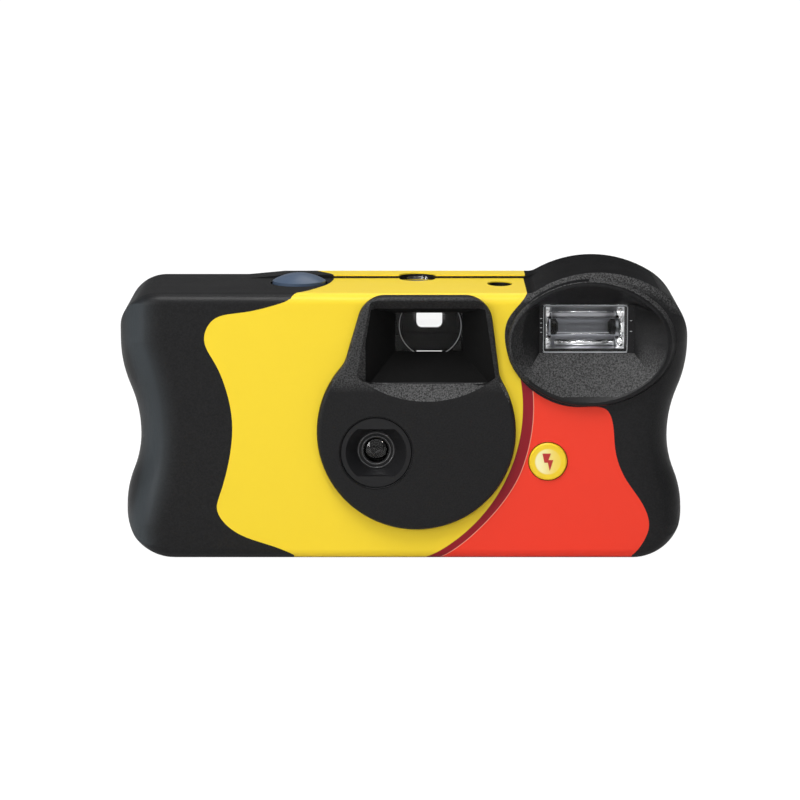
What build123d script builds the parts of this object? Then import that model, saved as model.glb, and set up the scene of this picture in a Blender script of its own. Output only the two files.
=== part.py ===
from build123d import *
from functools import cache
import math
import os

# Single-use film camera with a built-in flash, in millimetres.
# X runs to the right as the front is seen, the front faces -Y and Z is up.
# The origin is under the middle of the body, on the face that it stands on.

# Body and its moulded covers
panel_proud = 2.0
pod_proud = 1.5
front_room = 3.4
rear_room = 0.6
deck_room = 2.1
grip_bulge = 3.95
grip_drop = 9.9
waist_lift = 3.0
foot_bulge = 3.05
foot_height = 10.2
foot_corner = 10.0
shoulder_corner = 8.0
pod_half_width = 18.35
pod_half_height = 14.15
pod_end_radius = 12.5
pod_blend = 3.2
pod_step = 0.25
pod_crest = 0.75
pod_round = 0.6
rim_round = 2.2
left_grip_round = 6.5
right_grip_round = 4.2
rear_grip_round = 5.0
hollow_share = 0.586
cover_wall = 1.5
rear_cover_depth = 8.7
parting_gap = 0.1
raise_height = 0.7
raise_left = -25.0
raise_run = 7.5
running_fit = 0.06
close_gap = 0.3
seat_gap = 0.1
overrun = 5.0
label_thickness = 0.25
label_margin = 0.15
label_foot = 0.3
funnel_wall = 1.2

# Keyhole panel round the finder and the lens
panel_drop = 0.3
panel_circle_x = 2.6
panel_circle_lift = 4.2
panel_circle_radius = 20.3
neck_left_top = -8.0
neck_right_top = 17.4
neck_left_foot = -13.0
neck_right_foot = 19.6
neck_foot_lift = 10.8
neck_corner = 5.4
neck_blend = 6.0
panel_round = 0.9

# Finder
finder_x = 5.45
eyepiece_drop = 9.3
eyepiece_border = 2.4
bevel_drop = 1.1
bevel_left = -6.7
bevel_right = 16.7
bevel_left_foot = -9.6
bevel_right_foot = 19.0
bevel_foot_drop = 16.6
bevel_sag_drop = 21.8
mouth_drop = 3.2
mouth_left = -5.4
mouth_right = 15.2
mouth_left_foot = -6.9
mouth_right_foot = 17.5
mouth_foot_drop = 18.4
mouth_sag_drop = 18.7
mouth_depth = 2.4
throat_left = -1.7
throat_right = 12.1
throat_foot_drop = 12.8
throat_drop = 4.8
throat_depth = 8.6
throat_corner = 1.4
tunnel_wall = 0.8
tunnel_gap = 0.2
finder_lens_thickness = 1.2
finder_lens_crown = 0.9
eyepiece_width = 6.6
eyepiece_height = 4.6
eyepiece_flange = 0.7
objective_radius = 6.4
objective_drop = 7.5

# Taking lens and shutter
lens_x = -5.6
lens_hole_radius = 7.6
retainer_gap = 0.25
retainer_recess = 0.3
well_radius = 6.2
well_flat = 4.9
well_floor_radius = 3.9
well_depth = 3.0
retainer_flange_radius = 9.4
retainer_flange = 0.9
lens_radius = 3.3
floor_ring_inner = 3.1
floor_ring_outer = 3.6
floor_ring_depth = 0.3
lens_plate_setback = 6.8
lens_rear_setback = 5.5
retainer_rear_wall = 1.0
retainer_foot_radius = 0.8
retainer_foot_angles = (95, 20, -50)
lens_seat_bore = 2.6
lens_thickness = 1.5
lens_crown = 0.6
lens_plate_half = 10.5
lens_plate_thickness = 1.2
blade_thickness = 0.3
blade_gap = 0.3
blade_disc_radius = 3.0
blade_pivot_x = -13.4
blade_pivot_lift = 4.6
blade_arm_width = 2.6
blade_tab_height = 6.4
blade_tab_width = 2.2
light_hole_radius = 2.2
blade_hub_radius = 1.9
pivot_pin_radius = 0.9
aperture_radius = 1.4
aperture_thickness = 0.3

# Film path and the moulded frame
film_height = 35.0
film_lift = 2.4
film_thickness = 0.14
film_setback = 3.0
gate_width = 36.0
gate_height = 24.0
gate_border = 1.0
gate_rail = 0.3
gate_rail_width = 1.4
gate_plate_thickness = 1.6
gate_gap = 0.13
perforation_pitch = 4.75
perforation_width = 1.98
perforation_height = 2.8
perforation_inset = 3.4
light_box_wall = 1.2
light_box_front_half = 5.4
frame_foot = 2.6
shelf_left = -24.0
shelf_right = -3.4
shelf_setback = 0.6
shelf_thickness = 1.2
lug_thickness = 0.9
web_reach = 3.0

# Film cartridge
cartridge_side = 1.9
cartridge_radius = 12.5
cartridge_foot = 2.7
cartridge_end = 3.1
cartridge_lip_width = 3.6
cartridge_lip_spare = 1.8
lip_thickness = 0.9
film_slit = 0.5
cartridge_cap = 1.0
cartridge_wall = 0.5
chamber_gap = 0.4
chamber_wall = 1.2
chamber_foot = 4.2
spool_knob_radius = 5.6
spool_core_radius = 4.6
spool_bore_radius = 3.4
spool_knob_height = 1.5
spool_foot_nub = 1.0
spool_bore_depth = 6.0
spool_bar_height = 1.6

# Supply roll
supply_side = 3.3
supply_radius = 9.2
supply_core_radius = 4.2
supply_shaft_radius = 2.2
supply_rim = 0.6
roll_gap = 0.12

# Winding wheel and film counter
wheel_reach = 1.4
wheel_thickness = 4.4
lid_room = 1.6
wheel_teeth = 48
wheel_tooth = 0.7
wheel_hub_radius = 3.9
wheel_dish = 1.2
wheel_rim_width = 3.0
fork_half = 2.6
fork_width = 1.4
fork_depth = 4.0
sprocket_x = -18.0
sprocket_setback = 6.1
sprocket_radius = 5.2
sprocket_tooth = 0.6
sprocket_teeth = 8
sprocket_drop = 2.9
sprocket_thickness = 1.8
sprocket_shaft_radius = 1.5
cam_radius = 2.7
cam_notch = 0.9
finger_width = 1.2
finger_gap = 0.3
counter_x = -4.0
counter_setback = 5.9
counter_radius = 9.6
counter_teeth = 40
counter_tooth = 0.6
counter_thickness = 0.6
counter_lift = 0.3
counter_hub_radius = 2.4
counter_pin_radius = 1.1
window_x = 2.9
window_inset = 0.2
window_radius = 3.8
window_flange = 0.6

# Shutter release
button_x = -21.65
button_setback = 6.7
button_radius = 5.5
button_gap = 0.45
button_well = 1.8
button_well_floor = 0.8
button_skirt = 1.2
button_dome = 1.6
button_travel = 1.0
button_stem_radius = 1.3
button_collar_radius = 1.85
button_collar = 0.8
button_stem_gap = 0.35
button_well_wall = 0.7

# Shutter levers
kick_x = -13.0
kick_reach = 9.3
kick_lift = 1.5
kick_thickness = 1.2
kick_hub_radius = 2.6
kick_overlap = 0.2
kick_tip_width = 1.2
meter_x = -19.4
meter_setback = 2.9
meter_gap = 0.4
meter_thickness = 1.2
meter_hub_radius = 2.4
meter_arm_past = 1.6
meter_arm_width = 1.8
meter_nose_radius = 0.8
lever_pin_radius = 1.1
lever_post_radius = 1.7

# Flash
dish_x = 37.7
dish_sink = 0.25
dish_half_width = 15.9
dish_half_height = 12.0
flash_left = 27.7
flash_right = 47.1
flash_half_height = 5.0
flash_rise = 2.45
flash_recess = 5.2
pane_left_margin = 0.7
pane_right_margin = 1.3
pane_corner = 0.5
dish_end_radius = 9.4
flash_window_gap = 0.15
flash_window_flange = 0.7
reflector_depth = 6.0
reflector_wall = 0.5
reflector_throat = 2.6
reflector_slope = 1.6
reflector_gap = 0.1
tube_setback = 3.6
tube_radius = 1.5
tube_overhang = 1.6
board_left = 14.6
board_right = 52.0
board_foot = 4.0
board_lift = 9.4
board_thickness = 1.2
board_front_gap = 2.3
small_part_x = 21.0
small_part_z = 9.0
small_part_pitch = 5.0
small_part_half = 3.2
small_part_radius = 1.1
capacitor_radius = 4.4
capacitor_left = -19.0
capacitor_right = 9.0
capacitor_z = 6.8
capacitor_bevel = 0.5
lead_spread = 1.4
lead_radius = 0.35
transformer_x = 46.0
transformer_z = 13.0
transformer_width = 9.0
transformer_height = 9.0
transformer_depth = 7.6
transformer_flange = 1.2
charge_x = 29.5
charge_drop = 2.1
charge_radius = 3.85
charge_proud = 0.5
charge_flange = 0.7
charge_travel = 0.6
charge_gap = 0.2
lamp_x = 19.9
lamp_setback = 8.0
lamp_half_width = 2.6
lamp_half_depth = 3.8
lamp_stem_radius = 1.3
lamp_recess = 1.0
battery_side = 1.9
battery_setback = 6.3
battery_radius = 7.1
battery_foot = 3.6
battery_bevel = 0.4
battery_head_room = 2.9
battery_nub_radius = 2.7
battery_nub = 1.3
contact_thickness = 0.4
contact_width = 6.0
contact_gap = 0.3
contact_reach = 6.0
contact_arm_side = 5.5
contact_arm_half = 1.0

# Label and the bottom door
label_left_shares = (
    (-0.385, 1.0), (-0.398, 0.982), (-0.437, 0.963), (-0.572, 0.93), (-0.67, 0.901),
    (-0.699, 0.829), (-0.665, 0.747), (-0.624, 0.642), (-0.604, 0.53), (-0.615, 0.379),
    (-0.651, 0.239), (-0.66, 0.2), (-0.621, 0.125), (-0.501, 0.063), (-0.388, 0.014),
)
label_rear_left_shares = (
    (-0.335, 1.0), (-0.35, 0.93), (-0.4, 0.86), (-0.48, 0.8), (-0.57, 0.75),
    (-0.62, 0.66), (-0.604, 0.53), (-0.615, 0.379),
    (-0.651, 0.239), (-0.66, 0.2), (-0.621, 0.125), (-0.501, 0.063), (-0.388, 0.014),
)
label_right_shares = (
    (0.81, 0.014), (0.854, 0.076), (0.868, 0.121), (0.846, 0.208), (0.781, 0.311),
    (0.745, 0.424), (0.738, 0.506), (0.716, 0.565), (0.62, 0.577), (0.497, 0.609),
    (0.409, 0.684), (0.359, 0.8), (0.365, 0.904), (0.424, 0.986), (0.442, 1.02),
)
label_deck_shares = (
    (-0.45, -0.6), (-0.4, -0.441), (-0.35, -0.33), (-0.302, -0.165), (-0.269, -0.009),
    (-0.254, 0.147), (-0.252, 0.244), (-0.275, 0.34), (-0.314, 0.435), (-0.345, 0.6),
)
door_foot_gap = 0.15
door_radius = 10.0
door_plate = 1.2
door_flat = 3.0
door_flat_gap = 0.5
door_tab_half = 2.2
door_tab_height = 1.35
door_tab_reach = 2.4
door_hinge_radius = 0.6
door_barrel_radius = 1.05
door_barrel_half = 4.0
scoop_shift = 0.5
scoop_half_width = 13.5
scoop_slope = 4.5
scoop_foot_drop = 1.0
scoop_rise = 2.4
scoop_depth = 2.8
slot_gap = 0.4
rib_thickness = 1.0

# Places across the body
supply_x = lens_x + gate_width / 2 + supply_side + chamber_gap + supply_radius
cartridge_x = lens_x - gate_width / 2 - cartridge_side - cartridge_radius
battery_x = supply_x + supply_radius + chamber_gap + chamber_wall + battery_side + battery_radius
contact_arm_x = battery_x + contact_arm_side
waist_half = battery_x + battery_radius + close_gap + cover_wall
grip_half = waist_half + grip_bulge
foot_half = waist_half + foot_bulge
pod_x = grip_half - pod_half_width
lip_right = cartridge_x + cartridge_radius + cartridge_lip_width
pane_left = flash_left + pane_left_margin
pane_right = flash_right - pane_right_margin
scoop_x = cartridge_x - scoop_shift
wheel_radius = cartridge_radius + wheel_reach

# Places through the depth
depth = panel_proud + 2 * cover_wall + front_room + 2 * cartridge_radius + rear_room
front_y = -depth / 2 + panel_proud
panel_y = -depth / 2
pod_y = front_y - pod_proud
rear_y = depth / 2
parting_y = rear_y - rear_cover_depth
inner_front_y = front_y + cover_wall
inner_rear_y = rear_y - cover_wall
cartridge_y = inner_rear_y - rear_room - cartridge_radius
film_y = rear_y - film_setback
sprocket_y = film_y - sprocket_setback
battery_y = film_y - battery_setback
supply_y = film_y - film_thickness / 2 - roll_gap - supply_radius
gate_rear_y = film_y - film_thickness / 2 - gate_gap
gate_front_y = gate_rear_y - gate_plate_thickness
throat_y = panel_y + throat_depth
dish_floor_y = pod_y + flash_recess
dish_back_y = dish_floor_y + funnel_wall
reflector_front_y = dish_back_y + flash_window_flange + reflector_gap
tube_y = reflector_front_y + tube_setback
board_front_y = inner_front_y + board_front_gap
board_rear_y = board_front_y + board_thickness
plate_front_y = panel_y + lens_plate_setback
plate_rear_y = plate_front_y + lens_plate_thickness
lens_rear_y = panel_y + lens_rear_setback
blade_y = plate_front_y - blade_gap - blade_thickness
shelf_front = plate_rear_y + shelf_setback
kick_y = blade_y + kick_reach
meter_y = kick_y - meter_setback
button_y = parting_y - button_setback
counter_y = parting_y - counter_setback
lamp_y = parting_y - lamp_setback
window_y = parting_y - window_inset
door_hinge_y = cartridge_y + door_radius + close_gap
tunnel_front_y = throat_y + close_gap
tunnel_rear_y = inner_rear_y - eyepiece_flange - close_gap
lid_rear_y = rear_y - scoop_depth - funnel_wall - close_gap

# Heights
cartridge_length = film_height + 2 * cartridge_end
cartridge_top = cartridge_foot + cartridge_length
film_foot = cartridge_foot + film_lift
film_top = film_foot + film_height
lens_z = film_foot + film_height / 2
lid_z = cartridge_top + lid_room
wheel_foot = lid_z + chamber_wall + close_gap
wheel_top = wheel_foot + wheel_thickness
deck_top = wheel_top + deck_room + cover_wall
deck_under = deck_top - cover_wall
grip_height = deck_top - grip_drop
pod_z = grip_height
waist_height = lens_z + waist_lift
panel_top = deck_top - panel_drop
panel_circle_z = lens_z + panel_circle_lift
neck_foot_height = panel_circle_z + neck_foot_lift
eyepiece_z = deck_top - eyepiece_drop
bevel_top = deck_top - bevel_drop
bevel_foot_height = deck_top - bevel_foot_drop
bevel_sag = deck_top - bevel_sag_drop
mouth_top = deck_top - mouth_drop
mouth_foot = deck_top - mouth_foot_drop
mouth_sag = deck_top - mouth_sag_drop
throat_foot = deck_top - throat_foot_drop
throat_top = deck_top - throat_drop
objective_z = deck_top - objective_drop
tunnel_top = throat_top + tunnel_gap + tunnel_wall
counter_foot = tunnel_top + counter_lift
blade_pivot_z = lens_z + blade_pivot_lift
sprocket_foot = film_top - sprocket_drop
shelf_z = film_top + gate_border - shelf_thickness
kick_foot = shelf_z + shelf_thickness + kick_lift
kick_tip_drop = kick_foot - blade_pivot_z - blade_tab_height + kick_overlap
meter_foot = kick_foot + kick_thickness + meter_gap
supply_top = film_top + seat_gap + supply_rim
supply_lid_top = supply_top + close_gap + chamber_wall
dish_z = pod_z - dish_sink
tube_z = dish_z + flash_rise
flash_foot = tube_z - flash_half_height
flash_top = tube_z + flash_half_height
board_top = lens_z + board_lift
charge_z = lens_z - charge_drop
battery_length = deck_top - battery_foot - battery_head_room
door_hinge_z = door_foot_gap + door_barrel_radius
scoop_foot = wheel_foot - scoop_foot_drop
scoop_top = wheel_top + scoop_rise
cartridge_lip_height = film_height + 2 * cartridge_lip_spare

# The driving finger on the sprocket shaft and the counter disc that it turns
counter_run = (counter_x - sprocket_x, counter_y - sprocket_y)
counter_distance = math.hypot(*counter_run)
finger_run = (counter_run[0] / counter_distance, counter_run[1] / counter_distance)
finger_reach = counter_distance - counter_radius - finger_gap


def block(x_low, x_high, y_low, y_high, z_low, z_high):
    """A box between two corners."""
    middle = Pos((x_low + x_high) / 2, (y_low + y_high) / 2, (z_low + z_high) / 2)
    return middle * Box(x_high - x_low, y_high - y_low, z_high - z_low)


def rod_z(x, y, radius, z_low, z_high):
    """A round rod that stands up."""
    return Pos(x, y, (z_low + z_high) / 2) * Cylinder(radius, z_high - z_low)


def rod_y(x, z, radius, y_low, y_high):
    """A round rod that points from front to rear."""
    return Pos(x, (y_low + y_high) / 2, z) * Rot(90, 0, 0) * Cylinder(radius, y_high - y_low)


def rod_x(y, z, radius, x_low, x_high):
    """A round rod that lies across the body."""
    return Pos((x_low + x_high) / 2, y, z) * Rot(0, 90, 0) * Cylinder(radius, x_high - x_low)


def front_plane(y):
    """A drawing plane that faces the front, with X to the right and Z up."""
    return Plane(origin=(0, y, 0), x_dir=(1, 0, 0), z_dir=(0, -1, 0))


def slab(face, y_low, y_high):
    """A front view pulled through the depth from one Y to another."""
    return extrude(front_plane(y_high) * face, amount=y_high - y_low)


def plate(face, z_low, z_high):
    """A top view pulled up from one height to another."""
    return extrude(Pos(0, 0, z_low) * face, amount=z_high - z_low)


def halfway(first, second):
    """The point midway between two points."""
    return ((first[0] + second[0]) / 2, (first[1] + second[1]) / 2)


def oval_sizes(half_width, half_height, end_radius):
    """The centre distance of an oval's end arcs, and the drop and radius of its long arcs."""
    reach = half_width - end_radius
    rise = half_height - end_radius
    drop = (reach ** 2 - rise ** 2) / (2 * rise)
    return reach, drop, half_height + drop


def oval_face(x, z, half_width, half_height, end_radius):
    """An oval of four tangent arcs: its two ends and its two long sides."""
    reach, drop, long_radius = oval_sizes(half_width, half_height, end_radius)
    turn = math.degrees(math.atan2(drop, reach))
    span = 180 - 2 * turn
    arcs = [
        CenterArc((x + reach, z), end_radius, -turn, 2 * turn),
        CenterArc((x, z - drop), long_radius, turn, span),
        CenterArc((x - reach, z), end_radius, 180 - turn, 2 * turn),
        CenterArc((x, z + drop), long_radius, 180 + turn, span),
    ]
    return make_face(arcs)


def nearest_corner(face, x, z):
    """The corner of a face that lies nearest to a point."""
    return min(face.vertices(), key=lambda corner: math.hypot(corner.X - x, corner.Y - z))


def side_curve(side, top, foot):
    """One side of the body in front view: a bulge at the grip, a waist and a foot."""
    grip = (side * grip_half, grip_height)
    waist = (side * waist_half, waist_height)
    base = (side * foot_half, foot_height)
    upper_middle = halfway(grip, waist)
    lower_middle = halfway(waist, base)
    down = (0, -1)
    grip_arc = TangentArc(grip, upper_middle, tangent=down)
    waist_arc = TangentArc(upper_middle, waist, tangent=grip_arc % 1)
    hollow_arc = TangentArc(waist, lower_middle, tangent=down)
    foot_arc = TangentArc(lower_middle, base, tangent=hollow_arc % 1)
    curve = [grip_arc, waist_arc, hollow_arc, foot_arc, Line(base, (side * foot_half, foot))]
    if top > grip_height:
        curve.append(Line((side * grip_half, top), grip))
    return curve


def outline(inset, raised):
    """The front view of the closed body, with round corners and the flash pod's hump."""
    deck = deck_top + raise_height if raised else deck_top
    reach, drop, long_radius = oval_sizes(pod_half_width, pod_half_height, pod_end_radius)
    turn = math.atan2(drop, reach)
    end_x = pod_x + reach + pod_end_radius * math.cos(turn)
    end_z = pod_z + pod_end_radius * math.sin(turn)
    notch_x = pod_x - math.sqrt(long_radius ** 2 - (deck - pod_z + drop) ** 2)
    end_arc = CenterArc((pod_x + reach, pod_z), pod_end_radius, 0, math.degrees(turn))
    hump = ThreePointArc((end_x, end_z), (pod_x, pod_z + pod_half_height), (notch_x, deck))
    corner = (-grip_half, deck_top)
    deck_points = [(notch_x, deck)]
    if raised:
        deck_points += [(raise_left, deck), (raise_left - raise_run, deck_top)]
    deck_points.append(corner)
    edges = side_curve(-1, deck_top, 0) + side_curve(1, grip_height, 0) + [end_arc, hump]
    edges += [Line(first, second) for first, second in zip(deck_points, deck_points[1:])]
    edges.append(Line((-foot_half, 0), (foot_half, 0)))
    face = make_face(edges)
    feet = [nearest_corner(face, -foot_half, 0), nearest_corner(face, foot_half, 0)]
    face = fillet(feet, foot_corner)
    face = fillet(nearest_corner(face, *corner), shoulder_corner)
    for point in deck_points[:-1]:
        face = fillet(nearest_corner(face, *point), pod_blend)
    if inset > 0:
        face = offset(face, -inset)
    return face


def grip_solid(inset, plain):
    """The body with upright sides and its large side rounds, or flat bevels where it is plain."""
    top = deck_top + foot_half
    edges = side_curve(-1, top, -foot_half) + side_curve(1, top, -foot_half)
    edges.append(Line((-foot_half, -foot_half), (foot_half, -foot_half)))
    edges.append(Line((-grip_half, top), (grip_half, top)))
    face = make_face(edges)
    if inset > 0:
        face = offset(face, -inset)
    solid = slab(face, front_y + inset, rear_y - inset)
    rounds = (
        (front_y + inset, -1, left_grip_round),
        (front_y + inset, 1, right_grip_round),
        (rear_y - inset, -1, rear_grip_round),
        (rear_y - inset, 1, rear_grip_round),
    )
    for face_y, side, radius in rounds:
        chain = [
            edge
            for edge in solid.edges()
            if abs(edge.center().Y - face_y) < seat_gap and side * edge.center().X > waist_half / 2
        ]
        if plain:
            solid = chamfer(chain, (radius - inset) * hollow_share)
        else:
            solid = fillet(chain, radius - inset)
    return solid


def rim_solid(inset, raised):
    """The body's outline through its depth, with its front and rear rims rounded."""
    solid = slab(outline(inset, raised), front_y + inset, rear_y - inset)
    rims = [
        edge
        for edge in solid.edges()
        if min(abs(edge.center().Y - front_y - inset), abs(edge.center().Y - rear_y + inset)) < seat_gap
    ]
    return fillet(rims, rim_round - inset)


@cache
def envelope(inset, raised):
    """The whole body, or the same body with every face moved in by the inset."""
    return grip_solid(inset, False) & rim_solid(inset, raised)


@cache
def hollow(raised):
    """The room inside the covers."""
    room = slab(outline(cover_wall, raised), front_y + cover_wall, rear_y - cover_wall)
    return grip_solid(cover_wall, True) & room


def front_half(solid):
    """The part of a solid that lies in front of the parting line."""
    return solid & block(-depth * 2, depth * 2, -depth, parting_y, -overrun, depth * 2)


def rear_half(solid):
    """The part of a solid that lies behind the parting line."""
    return solid & block(-depth * 2, depth * 2, parting_y + parting_gap, depth, -overrun, depth * 2)


def panel_face(inset):
    """The keyhole outline: a disc round the lens with a neck up to the finder."""
    neck = Polyline(
        (neck_left_top, panel_top),
        (neck_right_top, panel_top),
        (neck_right_foot, neck_foot_height),
        (panel_circle_x, panel_circle_z),
        (neck_left_foot, neck_foot_height),
        close=True,
    )
    face = Pos(panel_circle_x, panel_circle_z) * Circle(panel_circle_radius) + make_face(neck)
    for corner_x in (neck_left_top, neck_right_top):
        face = fillet(nearest_corner(face, corner_x, panel_top), neck_corner)
    face = fillet(nearest_corner(face, neck_left_foot, neck_foot_height), neck_blend)
    face = fillet(nearest_corner(face, neck_right_foot, neck_foot_height), neck_blend)
    if inset > 0:
        face = offset(face, -inset)
    return face


def framed_face(grow, left, right, left_foot, right_foot, top, foot, sag):
    """A finder opening: three straight edges and a bowed lower edge."""
    middle = ((left_foot + right_foot) / 2, sag - grow)
    return make_face([
        Line((left - grow, top + grow), (right + grow, top + grow)),
        Line((right + grow, top + grow), (right_foot + grow, foot - grow)),
        ThreePointArc((right_foot + grow, foot - grow), middle, (left_foot - grow, foot - grow)),
        Line((left_foot - grow, foot - grow), (left - grow, top + grow)),
    ])


def finder_funnel(grow):
    """The two-step funnel of the finder: a bevelled frame, then a throat."""
    bevel = framed_face(
        grow, bevel_left, bevel_right, bevel_left_foot, bevel_right_foot,
        bevel_top, bevel_foot_height, bevel_sag,
    )
    mouth = framed_face(
        grow, mouth_left, mouth_right, mouth_left_foot, mouth_right_foot, mouth_top, mouth_foot, mouth_sag
    )
    throat = framed_face(
        grow, throat_left, throat_right, throat_left, throat_right,
        throat_top, throat_foot, throat_foot - seat_gap,
    )
    mouth_y = panel_y + mouth_depth
    frame = loft([front_plane(panel_y) * bevel, front_plane(mouth_y) * mouth], ruled=True)
    funnel = loft([front_plane(mouth_y) * mouth, front_plane(throat_y) * throat], ruled=True)
    return frame + funnel


def rectangle_face(left, right, foot, top):
    """A front view rectangle between its edges."""
    return Pos((left + right) / 2, (foot + top) / 2) * Rectangle(right - left, top - foot)


def dish_oval(grow):
    """The front view of the dish's edge, moved out."""
    return oval_face(dish_x, dish_z, dish_half_width + grow, dish_half_height + grow, dish_end_radius + grow)


def flash_dish(grow):
    """The dish round the flash: an oval at the front that narrows to the window."""
    oval = dish_oval(grow)
    left = flash_left - grow
    right = flash_right + grow
    foot = flash_foot - grow
    top = flash_top + grow
    floor = make_face([
        Line((right, foot), (right, top)),
        Line((right, top), (left, top)),
        Line((left, top), (left, foot)),
        Line((left, foot), (right, foot)),
    ])
    floor_y = dish_floor_y + grow
    return loft([front_plane(pod_y) * oval, front_plane(floor_y) * floor], ruled=True)


def pod_boss():
    """The oval flash pod that stands proud of the front and widens towards the body."""
    wide = oval_face(
        pod_x, pod_z, pod_half_width - pod_step, pod_half_height - pod_step, pod_end_radius - pod_step
    )
    rear = front_y + cover_wall + rim_round
    boss = loft([front_plane(pod_y) * dish_oval(pod_crest), front_plane(rear) * wide], ruled=True)
    rim = [edge for edge in boss.edges() if abs(edge.center().Y - pod_y) < seat_gap]
    return fillet(rim, pod_round)


def keyhole_panel():
    """The raised black panel round the finder and the lens, with a round edge."""
    panel = slab(panel_face(0), panel_y, inner_front_y)
    rim = [edge for edge in panel.edges() if abs(edge.center().Y - panel_y) < seat_gap]
    panel = fillet(rim, panel_round)
    return panel - slab(panel_face(cover_wall), panel_y + cover_wall, inner_front_y)


def label_edge(shares):
    """Points of the label's edge, from shares of the grip's half width and the deck's height."""
    return [(grip_half * across, deck_top * up) for across, up in shares]


def label_solid(raised, left_shares, right_shares):
    """A skin of the label's thickness over the body, trimmed to the label's outline."""
    left = label_edge(left_shares)
    right = label_edge(right_shares)
    above = deck_top + overrun
    top_left = (left[0][0], above)
    top_right = (right[-1][0], above)
    foot_left = (left[-1][0], -overrun)
    foot_right = (right[0][0], -overrun)
    face = make_face([
        Line(top_left, left[0]),
        Spline(*left),
        Line(left[-1], foot_left),
        Line(foot_left, foot_right),
        Line(foot_right, right[0]),
        Spline(*right),
        Line(right[-1], top_right),
        Line(top_right, top_left),
    ])
    skin = envelope(0, raised) - envelope(label_thickness, raised)
    skin &= slab(face, -depth, depth)
    side = [(grip_half * across, depth * along) for across, along in label_deck_shares]
    beside = make_face([
        Spline(*side),
        Line(side[-1], (-grip_half, side[-1][1])),
        Line((-grip_half, side[-1][1]), (-grip_half, side[0][1])),
        Line((-grip_half, side[0][1]), side[0]),
    ])
    skin -= plate(beside, deck_top - rim_round / 2, above)
    return skin - block(-2 * depth, 2 * depth, -depth, depth, -overrun, label_foot)


def deck_cuts():
    """Everything that goes down through the deck: button well, ready lamp and counter window."""
    well_floor = deck_top - button_well
    below = deck_under - overrun
    above = deck_top + overrun
    cuts = rod_z(button_x, button_y, button_radius + button_gap, well_floor, above)
    cuts += rod_z(button_x, button_y, button_stem_radius + running_fit, well_floor - overrun, well_floor)
    cuts += plate(Pos(lamp_x, lamp_y) * Ellipse(lamp_half_width, lamp_half_depth), below, above)
    cuts += rod_z(window_x, window_y, window_radius, below, above)
    return cuts


def button_well_cup():
    """The cup under the deck that the shutter button sinks into."""
    radius = button_radius + button_gap + button_well_wall
    floor = deck_top - button_well - button_well_floor
    return front_half(rod_z(button_x, button_y, radius, floor, deck_top - rim_round / 2))


def door_cut(grow):
    """The round opening for the cartridge door, with the notch of its finger tab."""
    face = Pos(cartridge_x, cartridge_y) * Circle(door_radius + grow)
    flat_y = door_hinge_y - door_flat + door_flat_gap
    face &= Pos(cartridge_x, flat_y - depth) * Rectangle(2 * depth, 2 * depth)
    tab_half = door_tab_half + grow
    tab_y = cartridge_y - door_radius - door_tab_reach - grow
    tab = block(
        cartridge_x - tab_half, cartridge_x + tab_half, tab_y, cartridge_y, -overrun, door_tab_height + grow
    )
    return plate(face, -overrun, cover_wall + seat_gap) + tab


def hinge_cut():
    """Room for the door's hinge barrel in the bottom of the rear cover."""
    half = door_barrel_half + close_gap
    reach = door_barrel_radius + door_plate
    return block(
        cartridge_x - half, cartridge_x + half,
        cartridge_y, door_hinge_y + reach, -overrun, cover_wall + seat_gap,
    )


def front_cover():
    """The front moulding: grips, deck, keyhole panel, finder funnel, flash dish and lens hole."""
    body = front_half(envelope(0, False))
    panel = slab(panel_face(0), panel_y + panel_round, inner_front_y)
    cover = body - hollow(False)
    cover -= slab(panel_face(cover_wall), panel_y, inner_front_y + seat_gap)
    cover += pod_boss()
    cover += keyhole_panel()
    cover += finder_funnel(funnel_wall) & (body + panel)
    cover += flash_dish(funnel_wall) & (body + pod_boss())
    cover += button_well_cup()
    cover -= finder_funnel(0)
    cover -= flash_dish(0)
    throat = rectangle_face(throat_left, throat_right, throat_foot, throat_top)
    cover -= slab(throat, throat_y - seat_gap, depth)
    cover -= slab(flash_opening(0), dish_floor_y - seat_gap, depth)
    cover -= rod_y(lens_x, lens_z, lens_hole_radius, panel_y - overrun, inner_front_y + overrun)
    cover -= rod_y(charge_x, charge_z, charge_radius + charge_gap, front_y - overrun, inner_front_y + overrun)
    cover -= deck_cuts()
    cover -= door_cut(close_gap)
    cover -= front_label()
    return cover


@cache
def front_label():
    """The printed label on the front half, cut away round the panel, the pod and the openings."""
    label = front_half(label_solid(False, label_left_shares, label_right_shares))
    label -= slab(panel_face(0), panel_y - overrun, inner_front_y)
    label -= slab(dish_oval(pod_crest + label_margin), pod_y - overrun, depth)
    label -= rod_y(charge_x, charge_z, charge_radius + charge_gap, front_y - overrun, inner_front_y)
    label -= deck_cuts()
    return label


def scoop(grow):
    """The thumb scoop in the rear cover in front of the winding wheel."""
    outer_half = scoop_half_width + grow
    outer = rectangle_face(scoop_x - outer_half, scoop_x + outer_half, scoop_foot - grow, scoop_top + grow)
    inner_half = scoop_half_width - scoop_slope + grow
    inner = rectangle_face(
        scoop_x - inner_half, scoop_x + inner_half, wheel_foot - slot_gap - grow, wheel_top + slot_gap + grow
    )
    floor_y = rear_y - scoop_depth - grow
    return loft([front_plane(rear_y) * outer, front_plane(floor_y) * inner], ruled=True)


def pressure_ribs():
    """Ribs inside the rear cover that keep the film flat along its two edges."""
    ribs = None
    for height in (film_foot, film_foot + film_height - rib_thickness):
        rib = block(
            lip_right + close_gap, lens_x + gate_width / 2,
            film_y + film_thickness + close_gap, inner_rear_y + seat_gap, height, height + rib_thickness,
        )
        ribs = rib if ribs is None else ribs + rib
    return ribs


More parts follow.
